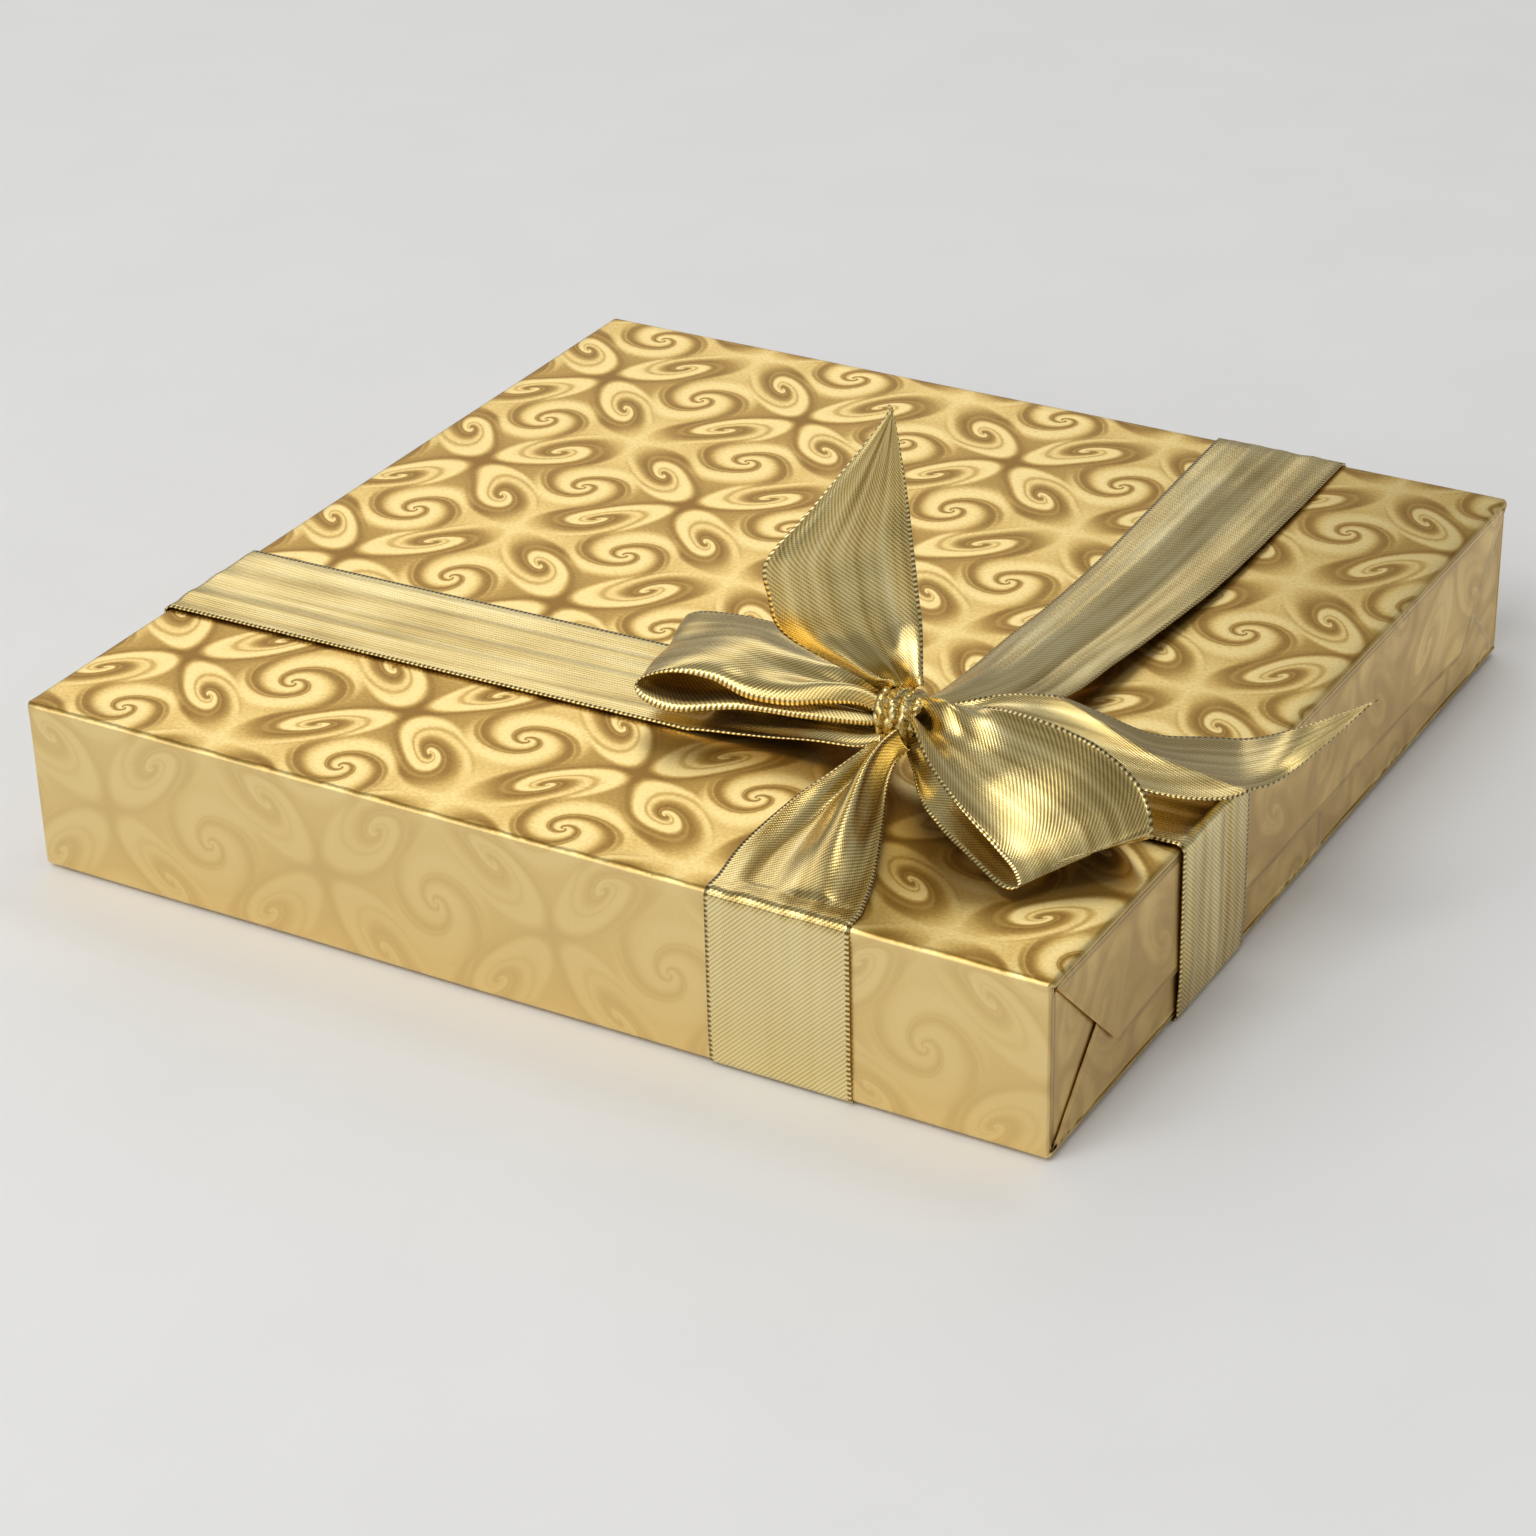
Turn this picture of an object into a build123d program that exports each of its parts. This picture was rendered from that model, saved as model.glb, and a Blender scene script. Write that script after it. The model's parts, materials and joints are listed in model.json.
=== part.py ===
from build123d import *
import math
import os

os.makedirs("parts", exist_ok=True)

# A flat, nearly square box of chocolates, wrapped in gold paper with parcel
# folds at both ends, and tied both ways with one metallic ribbon and a bow.
# Lengths are in millimetres. +Z is up, +X runs along the front edge to the
# right and +Y runs to the back. The origin lies on the surface that the box
# stands on, at the middle of the footprint, tail of the bow included.

# Wrapped parcel
parcel_length = 190.0
parcel_depth = 187.0
parcel_height = 31.0
paper_thickness = 0.2
paper_edge_radius = 1.0
flap_reach = 21.0
seam_lap = 20.0
wrap_clearance = 0.1
tape_thickness = 0.1
seam_tape_width = 12.0
flap_tape_width = 8.0
tape_end_margin = 12.0

# Ribbon and where its two turns lie, measured from the parcel's corner
ribbon_width = 25.0
ribbon_thickness = 0.3
ribbon_gap = 0.05
ribbon_corner_steps = 3
long_band_left_y = 51.5
long_band_right_y = 57.0
cross_band_front_x = 144.0
cross_band_back_x = 145.7
lap_ramp = 3.0
lap_margin = 1.0
pleats = 4
pleat_share = 0.55

# Bow, measured from the knot's middle and from the parcel's top face
knot_x = 140.0
knot_y = 48.5
knot_rise = 9.0
knot_width = 7.4
knot_radius = 4.6
knot_heading = -8.0
knot_folds = 3
knot_sides = 12
fold_shoulder_share = 0.3
fold_slope = 40.0
left_loop_reach = 54.5
left_loop_height = 11.0
left_loop_heading = 174.0
right_loop_reach = 47.5
right_loop_height = 13.6
right_loop_heading = -28.0
upright_tail_height = 59.7
upright_tail_heading = 30.4
upright_tail_setback = 6.4
right_tail_reach = 74.2
right_tail_height = 12.0
right_tail_heading = 20.0
loop_steps = 24
tail_steps = 14

# Card box inside the paper
board_thickness = 1.2
board_corner_radius = 0.6
lid_clearance = 0.4
lid_foot_gap = 1.0

# Padded sheet, moulded tray and chocolates
pad_thickness = 4.0
pad_clearance = 0.3
pad_corner_radius = 1.5
tray_thickness = 0.4
tray_clearance = 0.3
columns = 5
rows = 5
pocket_land = 4.5
pocket_corner = 4.0
pocket_taper = 4.0
praline_clearance = 0.6
praline_taper = 7.0
praline_edge = 1.2
square_height = 14.0
square_corner = 3.0
stripe_width = 1.8
stripe_height = 0.8
bar_height = 12.5
bar_share = 0.66
bar_taper = 24.0
round_height = 13.5
round_edge = 2.6
hexagon_height = 15.0
button_share = 0.45
button_height = 2.0
cone_height = 18.0
cone_sides = 8
cone_taper = 24.0

# Shapes of the bow: each row is a place along one edge of the ribbon, as
# shares of the piece's reach, of the ribbon's width and of the piece's height
left_loop_front_shares = [
    (0.04, -0.06, 0.86), (0.15, -0.04, 0.91), (0.26, -0.08, 0.78),
    (0.37, -0.15, 0.62), (0.50, -0.21, 0.59), (0.62, -0.24, 0.75),
    (0.73, -0.32, 0.80), (0.82, -0.38, 0.66), (0.845, -0.42, 0.48),
    (0.80, -0.44, 0.32), (0.70, -0.39, 0.25), (0.53, -0.20, 0.38),
    (0.33, -0.10, 0.45), (0.15, -0.06, 0.55), (0.04, -0.06, 0.64),
]
left_loop_back_shares = [
    (0.04, 0.10, 0.95), (0.17, 0.24, 1.00), (0.30, 0.42, 0.94),
    (0.44, 0.58, 0.82), (0.57, 0.68, 0.73), (0.715, 0.71, 0.66),
    (0.845, 0.68, 0.64), (0.955, 0.62, 0.59), (1.00, 0.58, 0.44),
    (0.935, 0.58, 0.24), (0.81, 0.62, 0.13), (0.61, 0.68, 0.11),
    (0.37, 0.54, 0.18), (0.17, 0.28, 0.41), (0.04, 0.10, 0.68),
]
right_loop_front_shares = [
    (0.06, -0.06, 0.70), (0.21, -0.20, 0.85), (0.38, -0.33, 0.83),
    (0.57, -0.40, 0.74), (0.67, -0.39, 0.60), (0.80, -0.36, 0.40),
    (0.875, -0.34, 0.25), (0.92, -0.37, 0.13), (0.86, -0.42, 0.08),
    (0.65, -0.38, 0.09), (0.48, -0.35, 0.13), (0.34, -0.32, 0.29),
    (0.19, -0.18, 0.44), (0.06, -0.08, 0.51),
]
right_loop_back_shares = [
    (0.03, 0.10, 0.77), (0.15, 0.18, 0.92), (0.25, 0.32, 1.00),
    (0.40, 0.46, 0.99), (0.53, 0.57, 0.94), (0.67, 0.65, 0.85),
    (0.87, 0.63, 0.72), (1.00, 0.53, 0.49), (0.95, 0.53, 0.26),
    (0.76, 0.57, 0.13), (0.57, 0.54, 0.19), (0.38, 0.36, 0.34),
    (0.19, 0.18, 0.46), (0.04, 0.08, 0.55),
]
# Tails: along the reach or across it, across the ribbon, and up
upright_tail_left_shares = [
    (-0.10, 0.40, 0.205), (-0.24, 0.60, 0.225), (-0.48, 0.80, 0.27),
    (-0.70, 0.95, 0.32), (-0.81, 1.00, 0.375), (-0.85, 1.00, 0.455),
    (-0.865, 1.00, 0.565), (-0.585, 1.00, 0.71), (-0.305, 1.00, 0.855),
    (-0.055, 1.00, 0.985),
]
upright_tail_right_shares = [
    (0.12, 0.40, 0.205), (0.12, 0.60, 0.23), (0.125, 0.80, 0.295),
    (0.125, 0.95, 0.36), (0.11, 1.00, 0.435), (0.095, 1.00, 0.51),
    (0.075, 1.00, 0.605), (0.05, 1.00, 0.73), (0.01, 1.00, 0.865),
    (-0.03, 1.00, 1.00),
]
right_tail_front_shares = [
    (0.035, -0.10, 0.71), (0.135, -0.22, 0.79), (0.24, -0.32, 0.775),
    (0.35, -0.41, 0.65), (0.46, -0.48, 0.50), (0.565, -0.53, 0.40),
    (0.66, -0.53, 0.35), (0.74, -0.445, 0.33), (0.82, -0.18, 0.53),
    (0.90, 0.09, 0.75), (0.985, 0.345, 0.98),
]
right_tail_back_shares = [
    (0.035, 0.10, 0.79), (0.12, 0.16, 0.88), (0.215, 0.225, 0.92),
    (0.31, 0.25, 0.85), (0.42, 0.225, 0.65), (0.525, 0.25, 0.40),
    (0.635, 0.39, 0.25), (0.73, 0.485, 0.17), (0.82, 0.455, 0.38),
    (0.91, 0.42, 0.67), (1.00, 0.375, 1.00),
]
# Arms of the two turns on top, from the knot outwards: distance as a share of
# the way to the parcel's edge, middle and width as shares of the ribbon's
# width, and rise as a share of the knot's
left_arm_shares = [
    (0.02, 0.04, 0.32, 0.36), (0.05, 0.07, 0.44, 0.22),
    (0.10, 0.14, 0.64, 0.18), (0.17, 0.22, 0.86, 0.06),
    (0.26, 0.23, 1.00, 0.0),
]
right_arm_shares = [
    (0.06, 0.06, 0.30, 0.38), (0.12, 0.10, 0.44, 0.18),
    (0.22, 0.18, 0.76, 0.03), (0.32, 0.26, 0.94, 0.01),
    (0.50, 0.31, 1.00, 0.0),
]
front_arm_shares = [
    (0.09, 0.0, 0.26, 0.58), (0.165, -0.03, 0.28, 0.50),
    (0.28, -0.04, 0.42, 0.35), (0.43, -0.02, 0.64, 0.20),
    (0.71, 0.07, 0.92, 0.06), (0.92, 0.155, 1.00, 0.0),
]
back_arm_shares = [
    (0.03, 0.04, 0.28, 0.72), (0.075, 0.18, 0.40, 0.60),
    (0.18, 0.29, 0.70, 0.36), (0.305, 0.29, 0.78, 0.20),
    (0.415, 0.31, 0.82, 0.11), (0.59, 0.32, 0.90, 0.05),
    (0.85, 0.26, 0.98, 0.0),
]

# Places that follow from the sizes
end_stack = 3 * paper_thickness + tape_thickness
bottom_stack = 2 * paper_thickness + tape_thickness
tip_out, tip_side, _ = right_tail_back_shares[-1]
tail_angle = math.radians(right_tail_heading)
tail_overhang = (
    knot_x
    + tip_out * right_tail_reach * math.cos(tail_angle)
    - tip_side * ribbon_width * math.sin(tail_angle)
    - parcel_length
)
left_x = -(parcel_length + tail_overhang) / 2
right_x = left_x + parcel_length
front_y = -parcel_depth / 2
back_y = parcel_depth / 2
middle_x = (left_x + right_x) / 2
base_z = 2 * ribbon_thickness
top_z = base_z + parcel_height
knot_at_x = left_x + knot_x
knot_at_y = front_y + knot_y
box_left = left_x + end_stack
box_right = right_x - end_stack
box_bottom = base_z + bottom_stack
lid_top = top_z - paper_thickness
lid_length = box_right - box_left - 2 * wrap_clearance
lid_depth = parcel_depth - 2 * paper_thickness - 2 * wrap_clearance
base_length = lid_length - 2 * board_thickness - 2 * lid_clearance
base_depth = lid_depth - 2 * board_thickness - 2 * lid_clearance
base_floor = box_bottom + board_thickness
base_rim = lid_top - board_thickness
inner_length = base_length - 2 * board_thickness
inner_depth = base_depth - 2 * board_thickness
tray_length = inner_length - 2 * tray_clearance
tray_depth = inner_depth - 2 * tray_clearance
tray_top = base_rim - pad_thickness - pad_clearance
tray_height = tray_top - base_floor
pitch_x = (tray_length - pocket_land) / columns
pitch_y = (tray_depth - pocket_land) / rows
pocket_x = pitch_x - pocket_land
pocket_y = pitch_y - pocket_land
pocket_floor = base_floor + tray_thickness
pocket_depth = tray_height - tray_thickness
pocket_draft = pocket_depth * math.tan(math.radians(pocket_taper))
praline_size = min(pocket_x, pocket_y) - 2 * pocket_draft - 2 * praline_clearance


# Corners of one cross section of the ribbon: a thin zigzag strip that gathers
# into pleats where it is narrower than the flat ribbon
def ribbon_section(plane, width, lift_sign=1):
    slack = math.sqrt(max(ribbon_width**2 - width**2, 0))
    lift = lift_sign * pleat_share * slack / pleats
    under, over = [], []
    for i in range(pleats + 1):
        across = width * (i / pleats - 1 / 2)
        height = lift if i % 2 else 0
        under.append((across, height - ribbon_thickness / 2))
        over.append((across, height + ribbon_thickness / 2))
    return [plane.from_local_coords(Vector(*p)) for p in under + over[::-1]]


# A length of ribbon through its sections, in flat creased facets. Both sides
# are creased along the same diagonals, so that it keeps its thickness
def creased_ribbon(sections):
    faces = [Face(Wire.make_polygon(end)) for end in (sections[0], sections[-1])]
    corner_count = len(sections[0])
    for near, far in zip(sections, sections[1:]):
        for i in range(corner_count):
            j = (i + 1) % corner_count
            first, last = (i, j) if i <= pleats else (j, i)
            faces.append(Face(Wire.make_polygon([near[first], near[last], far[last]])))
            faces.append(Face(Wire.make_polygon([near[first], far[last], far[first]])))
    return Solid(Shell(faces))


# A smooth curve through rows of places, at t from 0 at the first to 1
def along_rows(places, t):
    span = min(int(t * (len(places) - 1)), len(places) - 2)
    u = t * (len(places) - 1) - span
    p1, p2 = places[span], places[span + 1]
    p0 = places[span - 1] if span else p1 * 2 - p2
    p3 = places[span + 2] if span + 2 < len(places) else p2 * 2 - p1
    return (
        p1 * 2
        + (p2 - p0) * u
        + (p0 * 2 - p1 * 5 + p2 * 4 - p3) * u**2
        + (p1 * 3 - p0 - p2 * 3 + p3) * u**3
    ) / 2


# Places of a bow piece's edge from its shares: out along its heading from the
# knot, sideways by the ribbon's width, and up from the parcel's top face
def loop_edge(shares, reach, height, heading, turn):
    out = Vector(1, 0, 0).rotate(Axis.Z, heading)
    side = out.rotate(Axis.Z, turn)
    knot = Vector(knot_at_x, knot_at_y, top_z)
    return [
        knot + out * (o * reach) + side * (s * ribbon_width) + Vector(0, 0, r * height)
        for o, s, r in shares
    ]


# Sections of a ribbon held between its two edges
def strip_sections(first_edge, second_edge, steps, lift_sign=1):
    sections = []
    for k in range(steps + 1):
        t = k / steps
        step = 1 / (4 * steps)
        first, second = along_rows(first_edge, t), along_rows(second_edge, t)
        before, after = max(t - step, 0), min(t + step, 1)
        travel = (
            along_rows(first_edge, after)
            + along_rows(second_edge, after)
            - along_rows(first_edge, before)
            - along_rows(second_edge, before)
        )
        across = second - first
        normal = travel.cross(across)
        plane = Plane(
            origin=(first + second) / 2, x_dir=across, z_dir=across.cross(normal)
        )
        sections.append(ribbon_section(plane, across.length, lift_sign))
    return sections


# Stations of a turn round the parcel, seen from its side: place along, height,
# direction of travel, middle of the ribbon and its width
def corner_stations(turn_x, turn_z, start, middle):
    radius = paper_edge_radius + ribbon_gap + ribbon_thickness / 2
    stations = []
    for k in range(ribbon_corner_steps + 1):
        travel = start + 90 * k / ribbon_corner_steps
        outward = math.radians(travel - 90)
        stations.append(
            (
                turn_x + radius * math.cos(outward),
                turn_z + radius * math.sin(outward),
                travel,
                middle,
                ribbon_width,
            )
        )
    return stations


def arm_stations(shares, knot_along, edge_along, knot_middle):
    rise = top_z + ribbon_gap + ribbon_thickness / 2
    return [
        (
            knot_along + d * (edge_along - knot_along),
            rise + r * knot_rise,
            None,
            knot_middle + m * ribbon_width,
            w * ribbon_width,
        )
        for d, m, w, r in shares
    ]


def band_sections(stations, place):
    sections = []
    for k, (along, height, travel, middle, width) in enumerate(stations):
        if travel is None:
            before, after = stations[max(k - 1, 0)], stations[k + 1 if k + 1 < len(stations) else k]
            travel = math.degrees(
                math.atan2(after[1] - before[1], after[0] - before[0])
            )
        angle = math.radians(travel)
        plane = place(along, height, middle, math.cos(angle), math.sin(angle))
        sections.append(ribbon_section(plane, width, lift_sign=-1))
    return sections


# The knot: the ribbon wrapped once round the middle of the bow, in folds
knot_plane = Plane(
    origin=(knot_at_x, knot_at_y, top_z + knot_rise),
    x_dir=Vector(0, 1, 0).rotate(Axis.Z, knot_heading),
    z_dir=Vector(1, 0, 0).rotate(Axis.Z, knot_heading),
)
knot_fold = knot_width / knot_folds
fold_shoulder = knot_fold * fold_shoulder_share
fold_depth = fold_shoulder * math.tan(math.radians(fold_slope))
with BuildPart() as bow_knot:
    for k in range(knot_folds):
        start = (k - knot_folds / 2) * knot_fold
        for along, radius, length, taper in (
            (0, knot_radius - fold_depth, fold_shoulder, -fold_slope),
            (fold_shoulder, knot_radius, knot_fold - 2 * fold_shoulder, 0),
            (knot_fold - fold_shoulder, knot_radius, fold_shoulder, fold_slope),
        ):
            with BuildSketch(knot_plane.offset(start + along)):
                RegularPolygon(radius, knot_sides, major_radius=False)
            extrude(amount=length, taper=taper)
bow_knot.part.label = "bow_knot"

# Turn of the ribbon along the parcel: down the ends and under it
side_radius = paper_edge_radius + ribbon_gap + ribbon_thickness / 2
arc_left = left_x + paper_edge_radius
arc_right = right_x - paper_edge_radius
arc_front = front_y + paper_edge_radius
arc_back = back_y - paper_edge_radius
arc_top = top_z - paper_edge_radius
arc_bottom = ribbon_thickness / 2 + side_radius
long_left = front_y + long_band_left_y
long_right = front_y + long_band_right_y
long_stations = (
    arm_stations(left_arm_shares, knot_at_x, left_x, knot_at_y)
    + corner_stations(arc_left, arc_top, 180, long_left)
    + corner_stations(arc_left, arc_bottom, 270, long_left)
    + corner_stations(arc_right, arc_bottom, 360, long_right)
    + corner_stations(arc_right, arc_top, 450, long_right)
    + arm_stations(right_arm_shares, knot_at_x, right_x, knot_at_y)[::-1]
)
long_sections = band_sections(
    long_stations,
    lambda x, z, y, run, rise: Plane(
        origin=(x, y, z), x_dir=(0, 1, 0), z_dir=(run, 0, rise)
    ),
)
with BuildPart() as ribbon_long_band:
    add(creased_ribbon(long_sections))
    add(bow_knot.part, mode=Mode.SUBTRACT)
ribbon_long_band.part.label = "ribbon_long_band"

# Turn across the parcel, which steps up over the other one underneath
cross_front = left_x + cross_band_front_x
cross_back = left_x + cross_band_back_x
slope = (long_right - long_left) / parcel_length
lap_y = long_left + slope * ((cross_front + cross_back) / 2 - left_x)
lap_half = ribbon_width / 2 * (1 + abs(slope)) + lap_margin
flat_z = ribbon_thickness / 2
step_z = flat_z + ribbon_thickness


def cross_middle(y):
    return cross_front + (cross_back - cross_front) * (y - front_y) / parcel_depth


lap_stations = [
    (y, z, 0, cross_middle(y), ribbon_width)
    for y, z in (
        (lap_y - lap_half - lap_ramp, flat_z),
        (lap_y - lap_half, step_z),
        (lap_y + lap_half, step_z),
        (lap_y + lap_half + lap_ramp, flat_z),
    )
]
cross_stations = (
    arm_stations(front_arm_shares, knot_at_y, front_y, knot_at_x)
    + corner_stations(arc_front, arc_top, 180, cross_front)
    + corner_stations(arc_front, arc_bottom, 270, cross_front)
    + lap_stations
    + corner_stations(arc_back, arc_bottom, 360, cross_back)
    + corner_stations(arc_back, arc_top, 450, cross_back)
    + arm_stations(back_arm_shares, knot_at_y, back_y, knot_at_x)[::-1]
)
cross_sections = band_sections(
    cross_stations,
    lambda y, z, x, run, rise: Plane(
        origin=(x, y, z), x_dir=(-1, 0, 0), z_dir=(0, run, rise)
    ),
)
with BuildPart() as ribbon_cross_band:
    add(creased_ribbon(cross_sections))
    add(bow_knot.part, mode=Mode.SUBTRACT)
ribbon_cross_band.part.label = "ribbon_cross_band"

# Loops and tails of the bow
left_loop_sizes = (left_loop_reach, left_loop_height, left_loop_heading, -90)
left_loop_sections = strip_sections(
    loop_edge(left_loop_front_shares, *left_loop_sizes),
    loop_edge(left_loop_back_shares, *left_loop_sizes),
    loop_steps,
)
with BuildPart() as bow_left_loop:
    add(creased_ribbon(left_loop_sections))
    add(bow_knot.part, mode=Mode.SUBTRACT)
bow_left_loop.part.label = "bow_left_loop"

right_loop_sizes = (right_loop_reach, right_loop_height, right_loop_heading, 90)
right_loop_sections = strip_sections(
    loop_edge(right_loop_front_shares, *right_loop_sizes),
    loop_edge(right_loop_back_shares, *right_loop_sizes),
    loop_steps,
    lift_sign=-1,
)
with BuildPart() as bow_right_loop:
    add(creased_ribbon(right_loop_sections))
    add(bow_knot.part, mode=Mode.SUBTRACT)
bow_right_loop.part.label = "bow_right_loop"


# The upright tail's rows are read across the ribbon first, then backwards
def tail_edge(shares):
    across = Vector(1, 0, 0).rotate(Axis.Z, upright_tail_heading)
    back = across.rotate(Axis.Z, 90)
    knot = Vector(knot_at_x, knot_at_y, top_z)
    return [
        knot
        + across * (a * ribbon_width)
        + back * (b * upright_tail_setback)
        + Vector(0, 0, r * upright_tail_height)
        for a, b, r in shares
    ]


upright_tail_sections = strip_sections(
    tail_edge(upright_tail_left_shares),
    tail_edge(upright_tail_right_shares),
    tail_steps,
)
with BuildPart() as bow_upright_tail:
    add(creased_ribbon(upright_tail_sections))
    add(bow_knot.part, mode=Mode.SUBTRACT)
bow_upright_tail.part.label = "bow_upright_tail"

right_tail_sizes = (right_tail_reach, right_tail_height, right_tail_heading, 90)
right_tail_sections = strip_sections(
    loop_edge(right_tail_front_shares, *right_tail_sizes),
    loop_edge(right_tail_back_shares, *right_tail_sizes),
    tail_steps,
)
with BuildPart() as bow_right_tail:
    add(creased_ribbon(right_tail_sections))
    add(bow_knot.part, mode=Mode.SUBTRACT)
bow_right_tail.part.label = "bow_right_tail"

# Wrapping paper: one sheet round the box, lapped underneath, with parcel
# folds at the ends. The front and back tucks lie against the box, the bottom
# flap over them, and the top flap outside, with 45 degree edges
half_paper = paper_thickness / 2
fold_radius = paper_edge_radius - half_paper
tube_left = box_left - paper_thickness
tube_length = box_right - box_left + 2 * paper_thickness
outer_layer = base_z + half_paper
inner_layer = base_z + bottom_stack - half_paper
top_layer = top_z - half_paper
end_flaps = []
for end_x, out in ((box_left, -1), (box_right, 1)):
    for fold_z, free, layers_out in (
        (outer_layer, 1, paper_thickness + half_paper),
        (top_layer, -1, end_stack - half_paper),
    ):
        flap_x = end_x + out * layers_out
        edge_z = fold_z - free * half_paper
        free_z = edge_z + free * flap_reach
        with BuildPart() as end_flap:
            with BuildSketch(Plane.XZ):
                with BuildLine():
                    FilletPolyline(
                        (end_x - out * paper_edge_radius, fold_z),
                        (flap_x, fold_z),
                        (flap_x, free_z),
                        radius=fold_radius,
                    )
                trace(line_width=paper_thickness)
            extrude(amount=parcel_depth / 2, both=True)
            with BuildSketch(Plane.YZ.offset(end_x)):
                with BuildLine():
                    Polyline(
                        (front_y + paper_edge_radius, edge_z),
                        (back_y - paper_edge_radius, edge_z),
                        (back_y - flap_reach, free_z),
                        (front_y + flap_reach, free_z),
                        close=True,
                    )
                make_face()
            extrude(amount=2 * paper_edge_radius, both=True, mode=Mode.INTERSECT)
        end_flaps.append(end_flap)
with BuildPart() as wrapping_paper:
    with BuildSketch(Plane.YZ.offset(tube_left)):
        with BuildLine():
            FilletPolyline(
                (-seam_lap / 2, inner_layer),
                (back_y - half_paper, inner_layer),
                (back_y - half_paper, top_layer),
                (front_y + half_paper, top_layer),
                (front_y + half_paper, outer_layer),
                (seam_lap / 2, outer_layer),
                radius=fold_radius,
            )
        trace(line_width=paper_thickness)
    extrude(amount=tube_length)
    for end_x, out in ((box_left, -1), (box_right, 1)):
        tuck_x = end_x + out * half_paper
        with BuildSketch(Plane.XY.offset(outer_layer + fold_radius)):
            for side_y, inwards in ((front_y, 1), (back_y, -1)):
                with Locations((tuck_x, side_y + inwards * flap_reach / 2)):
                    Rectangle(paper_thickness, flap_reach)
        extrude(amount=top_layer - outer_layer - 2 * fold_radius)
    with BuildSketch(Plane.XZ):
        with Locations((middle_x, base_z + parcel_height / 2)):
            RectangleRounded(parcel_length, parcel_height, paper_edge_radius)
    extrude(amount=parcel_depth / 2, both=True, mode=Mode.INTERSECT)
    add([flap.part for flap in end_flaps])
wrapping_paper.part.label = "wrapping_paper"

# Strips of double-sided tape under the lap and under the two top flaps
with BuildPart() as seam_tape:
    with BuildSketch(Plane.XY.offset(base_z + paper_thickness)):
        with Locations((middle_x, 0)):
            Rectangle(box_right - box_left - 2 * tape_end_margin, seam_tape_width)
    extrude(amount=tape_thickness)
seam_tape.part.label = "seam_tape"

flap_tape_length = parcel_depth - 2 * flap_reach - 2 * tape_end_margin
with BuildPart() as left_flap_tape:
    with BuildSketch(Plane.YZ.offset(left_x + paper_thickness)):
        with Locations((0, base_z + parcel_height / 2)):
            Rectangle(flap_tape_length, flap_tape_width)
    extrude(amount=tape_thickness)
left_flap_tape.part.label = "left_flap_tape"

with BuildPart() as right_flap_tape:
    with BuildSketch(Plane.YZ.offset(right_x - paper_thickness - tape_thickness)):
        with Locations((0, base_z + parcel_height / 2)):
            Rectangle(flap_tape_length, flap_tape_width)
    extrude(amount=tape_thickness)
right_flap_tape.part.label = "right_flap_tape"

# Card lid, full depth, which drops over the base
with BuildPart() as box_lid:
    with BuildSketch(Plane.XY.offset(lid_top)):
        with Locations((middle_x, 0)):
            RectangleRounded(lid_length, lid_depth, board_corner_radius)
    extrude(amount=-(lid_top - box_bottom - lid_foot_gap))
    fillet(
        box_lid.edges().group_by(Axis.Z)[-1],
        radius=paper_edge_radius - paper_thickness,
    )
    with BuildSketch(Plane.XY.offset(base_rim)):
        with Locations((middle_x, 0)):
            Rectangle(
                lid_length - 2 * board_thickness, lid_depth - 2 * board_thickness
            )
    extrude(amount=-(base_rim - box_bottom), mode=Mode.SUBTRACT)
box_lid.part.label = "box_lid"

with BuildPart() as box_base:
    with BuildSketch(Plane.XY.offset(box_bottom)):
        with Locations((middle_x, 0)):
            RectangleRounded(base_length, base_depth, board_corner_radius)
    extrude(amount=base_rim - box_bottom)
    with BuildSketch(Plane.XY.offset(base_floor)):
        with Locations((middle_x, 0)):
            Rectangle(inner_length, inner_depth)
    extrude(amount=base_rim - base_floor, mode=Mode.SUBTRACT)
box_base.part.label = "box_base"

# Padded paper sheet between the lid and the chocolates
with BuildPart() as cushion_pad:
    with BuildSketch(Plane.XY.offset(base_rim - pad_thickness)):
        with Locations((middle_x, 0)):
            RectangleRounded(
                inner_length - 2 * pad_clearance,
                inner_depth - 2 * pad_clearance,
                pad_corner_radius,
            )
    extrude(amount=pad_thickness)
    chamfer(cushion_pad.edges().group_by(Axis.Z)[0], length=pad_corner_radius / 2)
cushion_pad.part.label = "cushion_pad"

# Tray formed from thin sheet: a flat top, a skirt that stands on the base's
# floor, and a tapered pocket for each chocolate. It is drawn as it leaves its
# mould, pockets upwards, and then turned over
tray_face = Plane(origin=(middle_x, 0, tray_top))
with BuildPart() as chocolate_tray:
    with BuildSketch(tray_face):
        Rectangle(tray_length, tray_depth)
    extrude(amount=tray_thickness)
    with BuildSketch(tray_face):
        Rectangle(tray_length, tray_depth)
        Rectangle(
            tray_length - 2 * tray_thickness,
            tray_depth - 2 * tray_thickness,
            mode=Mode.SUBTRACT,
        )
    extrude(amount=tray_height)
    for wall, depth, mode in (
        (tray_thickness, tray_height, Mode.ADD),
        (0, pocket_depth, Mode.SUBTRACT),
    ):
        with BuildSketch(tray_face) as pockets:
            with GridLocations(pitch_x, pitch_y, columns, rows):
                Rectangle(pocket_x + 2 * wall, pocket_y + 2 * wall)
            chamfer(pockets.vertices(), length=pocket_corner)
        extrude(amount=depth, taper=pocket_taper, mode=mode)
    mirror(about=tray_face, mode=Mode.REPLACE)
chocolate_tray.part.label = "chocolate_tray"

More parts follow.
